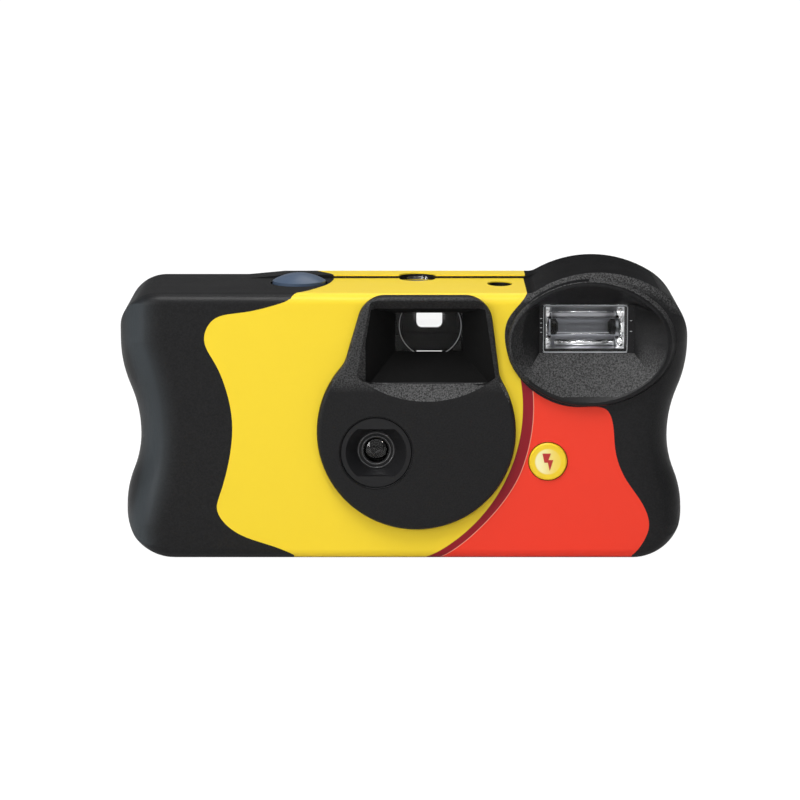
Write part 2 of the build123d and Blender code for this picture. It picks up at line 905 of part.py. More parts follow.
def rear_cover():
    """The rear moulding: raised middle, thumb scoop, wheel slot, eyepiece hole and film ribs."""
    cover = rear_half(envelope(0, True)) - hollow(True)
    cover += rear_half(scoop(funnel_wall) & envelope(0, True))
    cover += pressure_ribs()
    half = door_barrel_half + close_gap + rib_thickness
    ears = block(
        cartridge_x - half, cartridge_x + half, door_hinge_y - door_barrel_radius,
        door_hinge_y + door_barrel_radius, cover_wall - seat_gap, door_hinge_z + door_barrel_radius,
    )
    cover += ears
    cover -= scoop(0)
    slot_radius = wheel_radius + slot_gap
    cover -= rod_z(cartridge_x, cartridge_y, slot_radius, wheel_foot - slot_gap, wheel_top + slot_gap)
    cover -= slab(
        Pos(finder_x, eyepiece_z) * RectangleRounded(eyepiece_width, eyepiece_height, throat_corner),
        inner_rear_y - overrun, rear_y + overrun,
    )
    cover -= rod_z(window_x, window_y, window_radius, deck_under - overrun, deck_top + overrun)
    cover -= door_cut(close_gap)
    cover -= hinge_cut()
    inner_half = door_barrel_half + close_gap
    cover -= block(
        cartridge_x - inner_half, cartridge_x + inner_half,
        cartridge_y, door_hinge_y + door_barrel_radius + door_plate,
        -overrun, door_hinge_z + door_barrel_radius + overrun,
    )
    cover += rod_x(door_hinge_y, door_hinge_z, door_hinge_radius, cartridge_x - half, cartridge_x + half)
    cover -= rear_label()
    return cover


@cache
def rear_label():
    """The printed label on the rear half, cut away round the eyepiece."""
    label = rear_half(label_solid(True, label_rear_left_shares, label_right_shares))
    label -= slab(dish_oval(pod_crest + label_margin), parting_y - overrun, rear_y - rim_round)
    clear_width = eyepiece_width + eyepiece_border
    clear_height = eyepiece_height + eyepiece_border
    label -= slab(
        Pos(finder_x, eyepiece_z) * RectangleRounded(clear_width, clear_height, throat_corner),
        inner_rear_y - overrun, rear_y + overrun,
    )
    label -= rod_z(window_x, window_y, window_radius, deck_under - overrun, deck_top + overrun)
    return label


def cartridge_door():
    """The door under the film cartridge, with its finger tab, arm and hinge barrel."""
    face = Pos(cartridge_x, cartridge_y) * Circle(door_radius)
    face &= Pos(cartridge_x, door_hinge_y - door_flat - depth) * Rectangle(2 * depth, 2 * depth)
    disc = plate(face, door_foot_gap, door_foot_gap + door_plate)
    tab = block(
        cartridge_x - door_tab_half, cartridge_x + door_tab_half,
        cartridge_y - door_radius - door_tab_reach, cartridge_y, door_foot_gap, door_foot_gap + door_plate,
    )
    half = door_barrel_half
    arm = block(
        cartridge_x - half, cartridge_x + half,
        cartridge_y, door_hinge_y, door_foot_gap, door_foot_gap + door_plate,
    )
    barrel = rod_x(door_hinge_y, door_hinge_z, door_barrel_radius, cartridge_x - half, cartridge_x + half)
    door = disc + tab + arm + barrel
    return door - rod_x(
        door_hinge_y, door_hinge_z, door_hinge_radius + running_fit,
        cartridge_x - half - overrun, cartridge_x + half + overrun,
    )


def light_box():
    """The tapered dark box between the lens and the film gate, open at both ends."""
    front_half_size = light_box_front_half
    gate_half = (gate_width / 2, gate_height / 2)
    walls = []
    for grow in (light_box_wall, 0):
        front = rectangle_about(lens_x, lens_z, front_half_size + grow, front_half_size + grow)
        rear = rectangle_about(lens_x, lens_z, gate_half[0] + grow, gate_half[1] + grow)
        walls.append(loft([front_plane(plate_rear_y) * front, front_plane(gate_front_y) * rear], ruled=True))
    return walls[0] - walls[1]


def rectangle_about(x, z, half_wide, half_tall):
    """A front view rectangle about a centre."""
    return Pos(x, z) * Rectangle(2 * half_wide, 2 * half_tall)


def chamber_face(x, y, radius, opening_y):
    """A round room with straight sides that run to an opening at the rear."""
    sides = Pos(x, (y + opening_y) / 2) * Rectangle(2 * radius, opening_y - y)
    return (Pos(x, y) * Circle(radius) + sides) & Pos(x, opening_y - depth) * Rectangle(2 * depth, 2 * depth)


def chamber(x, y, radius, z_low, z_high, opening_y):
    """The wall of a round room that stands up, open at the rear where the film runs in."""
    outer = chamber_face(x, y, radius + chamber_wall, opening_y)
    return plate(outer - chamber_face(x, y, radius, opening_y), z_low, z_high)


def chamber_lid(x, y, radius, z_low, hole_radius, opening_y):
    """A lid on a chamber, with a bearing hole."""
    face = chamber_face(x, y, radius + chamber_wall, opening_y) - Pos(x, y) * Circle(hole_radius)
    return plate(face, z_low, z_low + chamber_wall)


def cartridge_chamber():
    """The room for the film cartridge: a half-round wall and a lid that carries the wheel."""
    room = cartridge_radius + chamber_gap
    wall = chamber(cartridge_x, cartridge_y, room, chamber_foot, lid_z, gate_front_y)
    bearing = wheel_hub_radius + running_fit
    return wall + chamber_lid(cartridge_x, cartridge_y, room, lid_z, bearing, lid_rear_y)


def supply_chamber():
    """The room for the unexposed roll: a half-round wall between two lids with bearings."""
    room = supply_radius + chamber_gap
    top = supply_top + close_gap
    wall = chamber(supply_x, supply_y, room, frame_foot, top, gate_rear_y - gate_rail)
    bearing = supply_shaft_radius + running_fit
    low_lid = chamber_lid(supply_x, supply_y, room, frame_foot, bearing, gate_rear_y)
    return wall + low_lid + chamber_lid(supply_x, supply_y, room, top, bearing, gate_rear_y)


def film_gate():
    """The plate that the film runs over, with the picture window and two rails."""
    left = lip_right + close_gap
    right = supply_x - supply_radius - chamber_gap
    link_left = cartridge_x + cartridge_radius + chamber_gap
    link_rear = film_y - lip_thickness - close_gap
    gate_top = film_top + gate_border
    link = block(
        link_left, left + chamber_wall, link_rear - chamber_wall, link_rear, frame_foot, gate_top
    )
    gate = link + block(left, right, gate_front_y, gate_rear_y - gate_rail, frame_foot, gate_top)
    for height in (film_foot, film_top - gate_rail_width):
        gate += block(left, right, gate_front_y, gate_rear_y, height, height + gate_rail_width)
    window = rectangle_about(lens_x, lens_z, gate_width / 2, gate_height / 2)
    return gate - slab(window, gate_front_y, gate_rear_y)


def lens_plate():
    """The plate behind the lens, with the light's way in and the shutter blade's pin."""
    half = lens_plate_half
    plate_block = slab(rectangle_about(lens_x, lens_z, half, half), plate_front_y, plate_rear_y)
    plate_block -= rod_y(lens_x, lens_z, light_hole_radius, plate_front_y, plate_rear_y)
    pin = rod_y(blade_pivot_x, blade_pivot_z, pivot_pin_radius, blade_y - blade_gap, plate_front_y)
    return plate_block + pin


def lever_shelf():
    """The shelf over the light box that carries the two shutter levers and the sprocket."""
    shelf = block(shelf_left, shelf_right, shelf_front, gate_front_y, shelf_z, shelf_z + shelf_thickness)
    lug_half = sprocket_shaft_radius + chamber_wall
    lug_z = sprocket_foot - close_gap - lug_thickness
    lug = block(
        sprocket_x - lug_half, sprocket_x + lug_half, sprocket_y - lug_half, gate_front_y,
        lug_z, lug_z + lug_thickness,
    )
    bearing = sprocket_shaft_radius + running_fit
    shelf = shelf + lug - rod_z(sprocket_x, sprocket_y, bearing, lug_z, shelf_z + shelf_thickness)
    for x, y, foot, top in (
        (kick_x, kick_y, kick_foot, kick_foot + kick_thickness),
        (meter_x, meter_y, meter_foot, meter_foot + meter_thickness),
    ):
        shelf += rod_z(x, y, lever_post_radius, shelf_z, foot - seat_gap)
        shelf += rod_z(x, y, lever_pin_radius, shelf_z, top + close_gap)
    return shelf


def shelf_brackets():
    """Two upright webs that carry the shelf on the lens plate and the chamber."""
    web_left = block(
        shelf_left, shelf_left + chamber_wall, shelf_front, gate_front_y,
        film_top - gate_border, shelf_z,
    )
    web_front = block(
        lens_x - lens_plate_half, lens_x - lens_plate_half + chamber_wall,
        plate_rear_y - seat_gap, plate_rear_y + web_reach, lens_z + lens_plate_half - chamber_wall, shelf_z,
    )
    return web_left + web_front


def battery_cradle():
    """A floor, a web and a curved saddle that hold the upright battery beside the supply roll."""
    left = supply_x + supply_radius / 2
    half = battery_radius / 2
    right = battery_x + half / 2
    floor_z = cover_wall + seat_gap
    floor = block(left, right, battery_y - half, battery_y + half, floor_z, frame_foot - seat_gap)
    wall_x = supply_x + supply_radius + chamber_gap
    riser = block(left, wall_x, battery_y - half, battery_y + half, floor_z, frame_foot + chamber_wall)
    inner = battery_radius + close_gap
    outer = inner + chamber_wall
    saddle_face = Pos(battery_x, battery_y) * (Circle(outer) - Circle(inner))
    saddle_face &= Pos(battery_x - outer, battery_y) * Rectangle(2 * (outer - half), 2 * battery_radius)
    web_left = wall_x + seat_gap
    web_right = battery_x - inner
    web_face = Pos((web_left + web_right) / 2, battery_y) * Rectangle(web_right - web_left, chamber_wall)
    return floor + riser + plate(saddle_face + web_face, floor_z, supply_top)


def mainframe():
    """The inner frame that everything sits on."""
    frame = cartridge_chamber() + supply_chamber() + film_gate() + light_box()
    frame += lens_plate() + lever_shelf() + shelf_brackets()
    frame += battery_cradle()
    frame -= rod_y(lens_x, lens_z, light_hole_radius, plate_front_y, plate_rear_y)
    return frame - rod_z(
        sprocket_x, sprocket_y, sprocket_radius + sprocket_tooth + close_gap,
        sprocket_foot - close_gap, sprocket_foot + sprocket_thickness + close_gap,
    )


def bar_face(x_start, y_start, x_end, y_end, width):
    """A bar with round ends between two points of a drawing."""
    length = math.hypot(x_end - x_start, y_end - y_start)
    turn = math.degrees(math.atan2(y_end - y_start, x_end - x_start))
    middle = Pos((x_start + x_end) / 2, (y_start + y_end) / 2)
    return middle * Rot(0, 0, turn) * SlotCenterToCenter(length, width)


def toothed_face(radius, tooth, teeth):
    """A disc with pointed teeth of equal pitch round its rim."""
    points = []
    for step in range(2 * teeth):
        reach = radius if step % 2 == 0 else radius - tooth
        angle = math.pi * step / teeth
        points.append((reach * math.cos(angle), reach * math.sin(angle)))
    return make_face(Polyline(*points, close=True))


def front_dome(x, z, y, radius, crown):
    """A shallow dome on a plane at y, bulging towards the front."""
    ball = (radius ** 2 + crown ** 2) / (2 * crown)
    return Pos(x, y + ball - crown, z) * Sphere(ball) & rod_y(x, z, radius, y - crown, y)


def lens_retainer():
    """The black ring round the lens: flatted well, floor ring, rear seat, flange and three feet."""
    front = panel_y + retainer_recess
    rear = lens_rear_y + aperture_thickness + seat_gap
    radius = lens_hole_radius - retainer_gap
    ring = rod_y(lens_x, lens_z, radius, front, rear)
    rim = [edge for edge in ring.edges() if abs(edge.center().Y - front) < seat_gap]
    ring = chamfer(rim, retainer_gap)
    flange_y = panel_y + cover_wall + seat_gap
    ring += rod_y(lens_x, lens_z, retainer_flange_radius, flange_y, flange_y + retainer_flange)
    cone = Rot(90, 0, 0) * Cone(well_floor_radius, well_radius, well_depth)
    well = Pos(lens_x, front + well_depth / 2, lens_z) * cone
    well &= block(
        lens_x - well_radius, lens_x + well_radius,
        front, front + well_depth, lens_z - well_flat, lens_z + well_flat,
    )
    ring -= well
    floor_y = front + well_depth
    groove = rod_y(lens_x, lens_z, floor_ring_outer, floor_y, floor_y + floor_ring_depth)
    groove -= rod_y(lens_x, lens_z, floor_ring_inner, floor_y, floor_y + floor_ring_depth)
    ring -= groove
    ring -= rod_y(lens_x, lens_z, lens_seat_bore, floor_y, rear)
    ring -= rod_y(lens_x, lens_z, lens_radius + running_fit, lens_rear_y - lens_thickness - seat_gap, rear)
    hollow_y = lens_rear_y - lens_thickness / 2
    hollow_ring = rod_y(lens_x, lens_z, radius - retainer_rear_wall, hollow_y, rear)
    ring -= hollow_ring - rod_y(lens_x, lens_z, lens_radius + retainer_rear_wall, hollow_y, rear)
    for angle in retainer_foot_angles:
        turn = math.radians(angle)
        reach = radius - retainer_rear_wall / 2
        foot_x = lens_x + reach * math.cos(turn)
        foot_z = lens_z + reach * math.sin(turn)
        ring += rod_y(foot_x, foot_z, retainer_foot_radius, rear - seat_gap, plate_front_y) & rod_y(
            lens_x, lens_z, radius, rear - overrun, plate_front_y
        )
    return ring


def front_lens():
    """The clear taking lens: a seated disc with a domed front."""
    disc = rod_y(lens_x, lens_z, lens_radius, lens_rear_y - lens_thickness, lens_rear_y)
    front = lens_rear_y - lens_thickness
    return disc + front_dome(lens_x, lens_z, front, lens_seat_bore - running_fit, lens_crown)


def aperture_disc():
    """The thin stop behind the lens."""
    front = lens_rear_y + seat_gap / 2
    disc = rod_y(lens_x, lens_z, lens_radius, front, front + aperture_thickness)
    return disc - rod_y(lens_x, lens_z, aperture_radius, front, front + aperture_thickness)


def shutter_blade():
    """The shutter blade: a disc over the light hole, an arm, a hub and the tab that is struck."""
    face = Pos(lens_x, lens_z) * Circle(blade_disc_radius)
    face += bar_face(lens_x, lens_z, blade_pivot_x, blade_pivot_z, blade_arm_width)
    face += Pos(blade_pivot_x, blade_pivot_z) * Circle(blade_hub_radius)
    face += bar_face(
        blade_pivot_x, blade_pivot_z, blade_pivot_x, blade_pivot_z + blade_tab_height, blade_tab_width
    )
    face -= Pos(blade_pivot_x, blade_pivot_z) * Circle(pivot_pin_radius + running_fit)
    return slab(face, blade_y, blade_y + blade_thickness)


def lever_hub(x, y, hub_radius, foot, thickness):
    """A lever's round hub with its bearing hole."""
    hub = rod_z(x, y, hub_radius, foot, foot + thickness)
    return hub - rod_z(x, y, lever_pin_radius + running_fit, foot, foot + thickness)


def kick_lever():
    """The sprung lever whose finger strikes the shutter blade's tab."""
    tip_x = blade_pivot_x - blade_tab_width / 2 - close_gap - kick_tip_width / 2
    tip_y = blade_y + blade_thickness / 2
    bar = bar_face(kick_x, kick_y, tip_x, tip_y, kick_tip_width * 2)
    arm = plate(bar, kick_foot, kick_foot + kick_thickness)
    arm -= rod_z(kick_x, kick_y, kick_hub_radius - seat_gap, kick_foot, kick_foot + kick_thickness)
    half = kick_tip_width / 2
    tip = block(
        tip_x - half, tip_x + half, tip_y - half, tip_y + half,
        kick_foot - kick_tip_drop, kick_foot + kick_thickness,
    )
    return lever_hub(kick_x, kick_y, kick_hub_radius, kick_foot, kick_thickness) + arm + tip


def metering_lever():
    """The lever under the shutter button's stem, which locks the winding after each picture."""
    end_y = button_y + meter_arm_past
    bar = bar_face(meter_x, meter_y, button_x, end_y, meter_arm_width)
    arm = plate(bar, meter_foot, meter_foot + meter_thickness)
    arm -= rod_z(meter_x, meter_y, meter_hub_radius - seat_gap, meter_foot, meter_foot + meter_thickness)
    cam_distance = math.hypot(button_x - sprocket_x, end_y - sprocket_y)
    reach = (cam_radius + close_gap + meter_nose_radius) / cam_distance
    nose_x = sprocket_x + (button_x - sprocket_x) * reach
    nose_y = sprocket_y + (end_y - sprocket_y) * reach
    nose = bar_face(button_x, end_y, nose_x, nose_y, 2 * meter_nose_radius)
    arm += plate(nose, meter_foot, meter_foot + meter_thickness)
    return lever_hub(meter_x, meter_y, meter_hub_radius, meter_foot, meter_thickness) + arm


def cartridge_shell():
    """The metal film cartridge: a tube with two caps and the lip that the film leaves by."""
    hollow = rod_z(
        cartridge_x, cartridge_y, cartridge_radius - cartridge_wall,
        cartridge_foot + cartridge_cap, cartridge_top - cartridge_cap,
    )
    middle = (cartridge_foot + cartridge_top) / 2
    lip_low = middle - cartridge_lip_height / 2
    lip_left = cartridge_x + cartridge_radius / 2
    shell = rod_z(cartridge_x, cartridge_y, cartridge_radius, cartridge_foot, cartridge_top)
    shell += block(
        lip_left, lip_right, film_y - lip_thickness, film_y + lip_thickness,
        lip_low, lip_low + cartridge_lip_height,
    )
    shell -= hollow
    shell -= rod_z(cartridge_x, cartridge_y, spool_knob_radius + running_fit, cartridge_foot, cartridge_top)
    return shell - block(
        lip_left - cartridge_radius / 2, lip_right, film_y - film_slit / 2, film_y + film_slit / 2,
        film_foot - film_slit, film_top + film_slit,
    )


def cartridge_spool():
    """The take-up spool in the cartridge, with a hollow, cross-barred top for the wheel's fork."""
    knob_top = cartridge_top + spool_knob_height
    spool = rod_z(cartridge_x, cartridge_y, spool_core_radius, cartridge_foot, cartridge_top)
    spool += rod_z(cartridge_x, cartridge_y, spool_knob_radius, cartridge_top - cartridge_cap, knob_top)
    spool += rod_z(
        cartridge_x, cartridge_y, spool_knob_radius,
        cartridge_foot - spool_foot_nub, cartridge_foot + cartridge_cap,
    )
    spool -= rod_z(cartridge_x, cartridge_y, spool_bore_radius, knob_top - spool_bore_depth, knob_top)
    bar = block(
        cartridge_x - spool_bore_radius, cartridge_x + spool_bore_radius,
        cartridge_y - fork_width / 2, cartridge_y + fork_width / 2,
        knob_top - spool_bore_depth, knob_top - spool_bore_depth + spool_bar_height,
    )
    return spool + bar


def film_strip():
    """The film across the gate, with a row of sprocket holes along each edge."""
    left = cartridge_x + cartridge_radius / 2
    right = supply_x
    face = rectangle_face(left, right, film_foot, film_top)
    count = int((right - left) / perforation_pitch)
    for row_z in (film_foot + perforation_inset, film_top - perforation_inset):
        holes = [
            Pos(left + perforation_pitch * (step + 0.5), row_z)
            * Rectangle(perforation_width, perforation_height)
            for step in range(count)
        ]
        face -= holes
    return slab(face, film_y - film_thickness / 2, film_y + film_thickness / 2)


def film_roll():
    """The unexposed film, wound on the supply spool."""
    roll = rod_z(supply_x, supply_y, supply_radius, film_foot, film_top)
    return roll - rod_z(supply_x, supply_y, supply_core_radius + running_fit, film_foot, film_top)


def supply_spool():
    """The supply spool: a core, two rims and a shaft stub at each end."""
    spool = rod_z(supply_x, supply_y, supply_core_radius, film_foot - seat_gap, film_top + seat_gap)
    rim_radius = (supply_core_radius + supply_radius) / 2
    spool += rod_z(supply_x, supply_y, rim_radius, film_foot - seat_gap - supply_rim, film_foot - seat_gap)
    spool += rod_z(supply_x, supply_y, rim_radius, film_top + seat_gap, film_top + seat_gap + supply_rim)
    return spool + rod_z(supply_x, supply_y, supply_shaft_radius, frame_foot, supply_lid_top)


def advance_wheel():
    """The knurled winding wheel, dished on top, with a hub and the fork that drives the spool."""
    wheel = Pos(cartridge_x, cartridge_y) * toothed_face(wheel_radius, wheel_tooth, wheel_teeth)
    wheel = plate(wheel, wheel_foot, wheel_top)
    dish_foot = wheel_top - wheel_dish
    dish = rod_z(cartridge_x, cartridge_y, wheel_radius - wheel_rim_width, dish_foot, wheel_top)
    wheel -= dish - rod_z(cartridge_x, cartridge_y, wheel_hub_radius, dish_foot, wheel_top)
    hub_foot = lid_z + seat_gap
    wheel += rod_z(cartridge_x, cartridge_y, wheel_hub_radius, hub_foot, wheel_foot)
    fork = block(
        cartridge_x - fork_width / 2, cartridge_x + fork_width / 2,
        cartridge_y - fork_half, cartridge_y + fork_half, hub_foot - fork_depth, hub_foot,
    )
    notch_half = fork_width / 2 + close_gap
    fork -= block(
        cartridge_x - fork_width, cartridge_x + fork_width,
        cartridge_y - notch_half, cartridge_y + notch_half,
        hub_foot - fork_depth, hub_foot - fork_depth + spool_bar_height + close_gap,
    )
    return wheel + fork


def sprocket():
    """The film sprocket on its shaft, with the metering cam and the counter's driving finger."""
    axis = Pos(sprocket_x, sprocket_y)
    wheel = axis * Circle(sprocket_radius)
    solid = plate(wheel, sprocket_foot, sprocket_foot + sprocket_thickness)
    for step in range(sprocket_teeth):
        turn = 360 / sprocket_teeth * step
        bar = Rectangle(2 * sprocket_tooth, 2 * sprocket_tooth)
        tooth = axis * Rot(0, 0, turn) * Pos(sprocket_radius, 0) * bar
        solid += plate(tooth, sprocket_foot, sprocket_foot + sprocket_thickness)
    shaft_foot = sprocket_foot - close_gap - lug_thickness
    shaft_top = counter_foot + counter_thickness
    solid += rod_z(sprocket_x, sprocket_y, sprocket_shaft_radius, shaft_foot, shaft_top)
    cam = axis * Circle(cam_radius) - axis * Pos(cam_radius, 0) * Circle(cam_notch)
    solid += plate(cam, meter_foot, meter_foot + meter_thickness)
    finger = bar_face(
        sprocket_x, sprocket_y, sprocket_x + (finger_reach - finger_width / 2) * finger_run[0],
        sprocket_y + (finger_reach - finger_width / 2) * finger_run[1], finger_width,
    )
    return solid + plate(finger, counter_foot, shaft_top)


def counter_disc():
    """The toothed film counter disc."""
    face = Pos(counter_x, counter_y) * toothed_face(counter_radius, counter_tooth, counter_teeth)
    face -= Pos(counter_x, counter_y) * Circle(counter_pin_radius + running_fit)
    return plate(face, counter_foot, counter_foot + counter_thickness)


def finder_tunnel():
    """The finder's square tunnel from the funnel to the eyepiece, with the counter disc's pin."""
    gap = tunnel_gap
    wall = tunnel_wall
    outer = rectangle_face(
        throat_left - gap - wall, throat_right + gap + wall, throat_foot - gap - wall, throat_top + gap + wall
    )
    inner = rectangle_face(throat_left - gap, throat_right + gap, throat_foot - gap, throat_top + gap)
    tunnel = slab(outer, tunnel_front_y, tunnel_rear_y)
    wing_half = counter_hub_radius
    tunnel += block(
        counter_x - wing_half, throat_left, counter_y - wing_half, counter_y + wing_half,
        tunnel_top - wall, tunnel_top,
    )
    pin_top = counter_foot + counter_thickness + close_gap
    tunnel += rod_z(counter_x, counter_y, counter_pin_radius, tunnel_top - wall, pin_top)
    return tunnel - slab(inner, tunnel_front_y, tunnel_rear_y)


def finder_objective():
    """The finder's front lens: a clear block with a round hollow in its face."""
    gap = tunnel_gap - seat_gap
    face = rectangle_face(throat_left - gap, throat_right + gap, throat_foot - gap, throat_top + gap)
    front = tunnel_front_y + seat_gap
    lens = slab(face, front, front + finder_lens_thickness)
    ball = (objective_radius ** 2 + finder_lens_crown ** 2) / (2 * finder_lens_crown)
    return lens - Pos(finder_x, front - ball + finder_lens_crown, objective_z) * Sphere(ball)


def finder_eyepiece():
    """The clear eyepiece in the rear cover, with a flange inside."""
    inner_y = inner_rear_y - seat_gap
    width = eyepiece_width - 2 * seat_gap
    height = eyepiece_height - 2 * seat_gap
    lens = slab(
        Pos(finder_x, eyepiece_z) * RectangleRounded(width, height, throat_corner - seat_gap),
        inner_y, rear_y - label_thickness - seat_gap,
    )
    flange = rectangle_about(
        finder_x, eyepiece_z, eyepiece_width / 2 + eyepiece_flange, eyepiece_height / 2 + eyepiece_flange
    )
    return lens + slab(flange, inner_y - eyepiece_flange, inner_y)


def counter_window():
    """The clear window over the film counter, with a flange under the deck."""
    top = deck_top - seat_gap
    window = rod_z(window_x, window_y, window_radius - seat_gap, deck_under - seat_gap, top)
    flange_radius = window_radius + window_flange
    return window + rod_z(
        window_x, window_y, flange_radius, deck_under - seat_gap - window_flange, deck_under - seat_gap
    )


def shutter_button():
    """The blue domed release button with its stem and the collar that keeps it in the deck."""
    foot = deck_top - button_well + button_travel + seat_gap
    cap = rod_z(button_x, button_y, button_radius, foot, foot + button_skirt)
    ball = (button_radius ** 2 + button_dome ** 2) / (2 * button_dome)
    dome = Pos(button_x, button_y, foot + button_skirt + button_dome - ball) * Sphere(ball)
    dome_foot = foot + button_skirt
    dome &= rod_z(button_x, button_y, button_radius, dome_foot, dome_foot + button_dome)
    stem_foot = meter_foot + meter_thickness + button_travel + button_stem_gap
    stem = rod_z(button_x, button_y, button_stem_radius, stem_foot, foot)
    collar_top = deck_top - button_well - button_well_floor - seat_gap
    collar = rod_z(button_x, button_y, button_collar_radius, collar_top - button_collar, collar_top)
    return cap + dome + stem + collar


def flash_button():
    """The round flash charging button on the front, with a flange and a boss behind."""
    front = front_y - charge_proud
    flange_y = inner_front_y + seat_gap
    cap = rod_y(charge_x, charge_z, charge_radius, front, flange_y)
    rim = [edge for edge in cap.edges() if abs(edge.center().Y - front) < seat_gap]
    cap = chamfer(rim, charge_proud / 2)
    flange = rod_y(charge_x, charge_z, charge_radius + charge_flange, flange_y, flange_y + charge_flange)
    boss_end = board_front_y - contact_thickness - contact_gap - charge_travel - charge_gap
    boss = rod_y(charge_x, charge_z, charge_radius / 2, flange_y, boss_end)
    return cap + flange + boss


def flash_contact():
    """The springy contact strip on the board behind the flash button."""
    half = contact_width / 2
    strip_y = board_front_y - contact_gap
    foot_z = charge_z - contact_reach
    strip = block(
        charge_x - half, charge_x + half, strip_y - contact_thickness, strip_y, foot_z, charge_z + half
    )
    foot = block(
        charge_x - half, charge_x + half,
        strip_y - contact_thickness, board_front_y, foot_z, foot_z + contact_width / 3,
    )
    return strip + foot


def flash_opening(grow):
    """The flash window's front view with its round corners, moved out or in."""
    middle = Pos((pane_left + pane_right) / 2, tube_z)
    width = pane_right - pane_left + 2 * grow
    return middle * RectangleRounded(width, 2 * (flash_half_height + grow), pane_corner + grow)


def flash_window():
    """The clear flash window: a raised pane in the dish's floor and a flange behind it."""
    pane = slab(flash_opening(-flash_window_gap), dish_floor_y + seat_gap, dish_back_y)
    flange = slab(flash_opening(flash_window_flange), dish_back_y, dish_back_y + flash_window_flange)
    return pane + flange


def flash_reflector():
    """The bright trough behind the window, narrower at the back, with holes for the tube."""
    front = reflector_front_y
    rear = front + reflector_depth
    middle_x = (pane_left + pane_right) / 2
    mouth_half = (pane_right - pane_left) / 2 - flash_window_gap
    mouth_height = flash_half_height - flash_window_gap
    back_half = mouth_half - reflector_slope
    trough = []
    for grow in (0, -reflector_wall):
        mouth = rectangle_about(middle_x, tube_z, mouth_half + grow, mouth_height + grow)
        back = rectangle_about(middle_x, tube_z, back_half + grow, reflector_throat + grow)
        trough.append(loft([front_plane(front) * mouth, front_plane(rear) * back], ruled=True))
    solid = trough[0] - trough[1]
    solid += slab(
        rectangle_about(middle_x, tube_z, back_half, reflector_throat), rear, rear + reflector_wall
    )
    hole = tube_radius + seat_gap
    return solid - rod_x(tube_y, tube_z, hole, pane_left - overrun, pane_right + overrun)


def flash_tube():
    """The glass flash tube across the reflector, with its two metal ends."""
    return rod_x(tube_y, tube_z, tube_radius, pane_left - tube_overhang, pane_right + tube_overhang)


def flash_board():
    """The flash circuit board."""
    face = rectangle_face(board_left, board_right, board_foot, board_top)
    return slab(face, board_front_y, board_rear_y)


def flash_capacitor():
    """The main capacitor that lies under the lens, with its two leads to the board."""
    y = inner_front_y + close_gap + capacitor_radius
    can = rod_x(y, capacitor_z, capacitor_radius, capacitor_left, capacitor_right)
    rims = can.edges().filter_by(GeomType.CIRCLE)
    can = chamfer(rims, capacitor_bevel)
    board_middle = (board_front_y + board_rear_y) / 2
    for z in (capacitor_z - lead_spread, capacitor_z + lead_spread):
        can += rod_x(board_middle, z, lead_radius, capacitor_right - seat_gap, board_left - seat_gap)
    return can


def flash_transformer():
    """The step-up transformer: a wound core between two square cheeks."""
    rear = board_rear_y + seat_gap
    far = rear + transformer_depth
    half_wide = transformer_width / 2
    half_tall = transformer_height / 2
    core = rod_y(transformer_x, transformer_z, half_wide - transformer_flange, rear, far)
    cheek = rectangle_about(transformer_x, transformer_z, half_wide, half_tall)
    return core + slab(cheek, rear, rear + transformer_flange) + slab(cheek, far - transformer_flange, far)


def board_parts():
    """Small parts on the back of the board: resistors, a film capacitor and a transistor."""
    rear = board_rear_y + seat_gap
    solids = []
    for x, z in ((small_part_x, small_part_z), (small_part_x, small_part_z + small_part_pitch)):
        ends = (x - small_part_half, x + small_part_half)
        solids.append(rod_x(rear + small_part_radius, z, small_part_radius, *ends))
    top_z = small_part_z + 2 * small_part_pitch
    solids.append(block(
        small_part_x - small_part_half, small_part_x + small_part_half, rear, rear + 2 * small_part_radius,
        top_z - small_part_radius, top_z + small_part_half,
    ))
    return Compound(solids)


def ready_lamp():
    """The light pipe of the flash-ready lamp, from the supply chamber's lid up to the deck."""
    head_foot = deck_under - seat_gap
    head = plate(
        Pos(lamp_x, lamp_y) * Ellipse(lamp_half_width - seat_gap, lamp_half_depth - seat_gap),
        head_foot, deck_top - lamp_recess,
    )
    return head + rod_z(lamp_x, lamp_y, lamp_stem_radius, supply_lid_top + seat_gap, head_foot)


def battery():
    """The round cell that stands beside the supply roll, its small pole up."""
    cell = rod_z(battery_x, battery_y, battery_radius, battery_foot, battery_foot + battery_length)
    rims = cell.edges().filter_by(GeomType.CIRCLE)
    cell = chamfer(rims, battery_bevel)
    top = battery_foot + battery_length
    return cell + rod_z(battery_x, battery_y, battery_nub_radius, top - battery_bevel, top + battery_nub)


def contact_arm(z_low, leg_low, leg_high):
    """One battery contact: a pad on the cell's axis, an arm forward and a leg to the board."""
    half = contact_width / 2
    pad = block(
        battery_x - half, contact_arm_x + contact_arm_half, battery_y - half, battery_y + half,
        z_low, z_low + contact_thickness,
    )
    arm = block(
        contact_arm_x - contact_arm_half, contact_arm_x + contact_arm_half, board_front_y, battery_y,
        z_low, z_low + contact_thickness,
    )
    leg = block(
        contact_arm_x - contact_arm_half, contact_arm_x + contact_arm_half,
        board_front_y, board_front_y + contact_thickness, leg_low, leg_high,
    )
    return pad + arm + leg


def battery_contacts():
    """The lower and upper battery contacts."""
    low_z = battery_foot - seat_gap - contact_thickness
    high_z = battery_foot + battery_length + battery_nub + seat_gap
    low = contact_arm(low_z, low_z, board_foot - seat_gap)
    high = contact_arm(high_z, board_top + seat_gap, high_z + contact_thickness)
    return Compound([low, high])


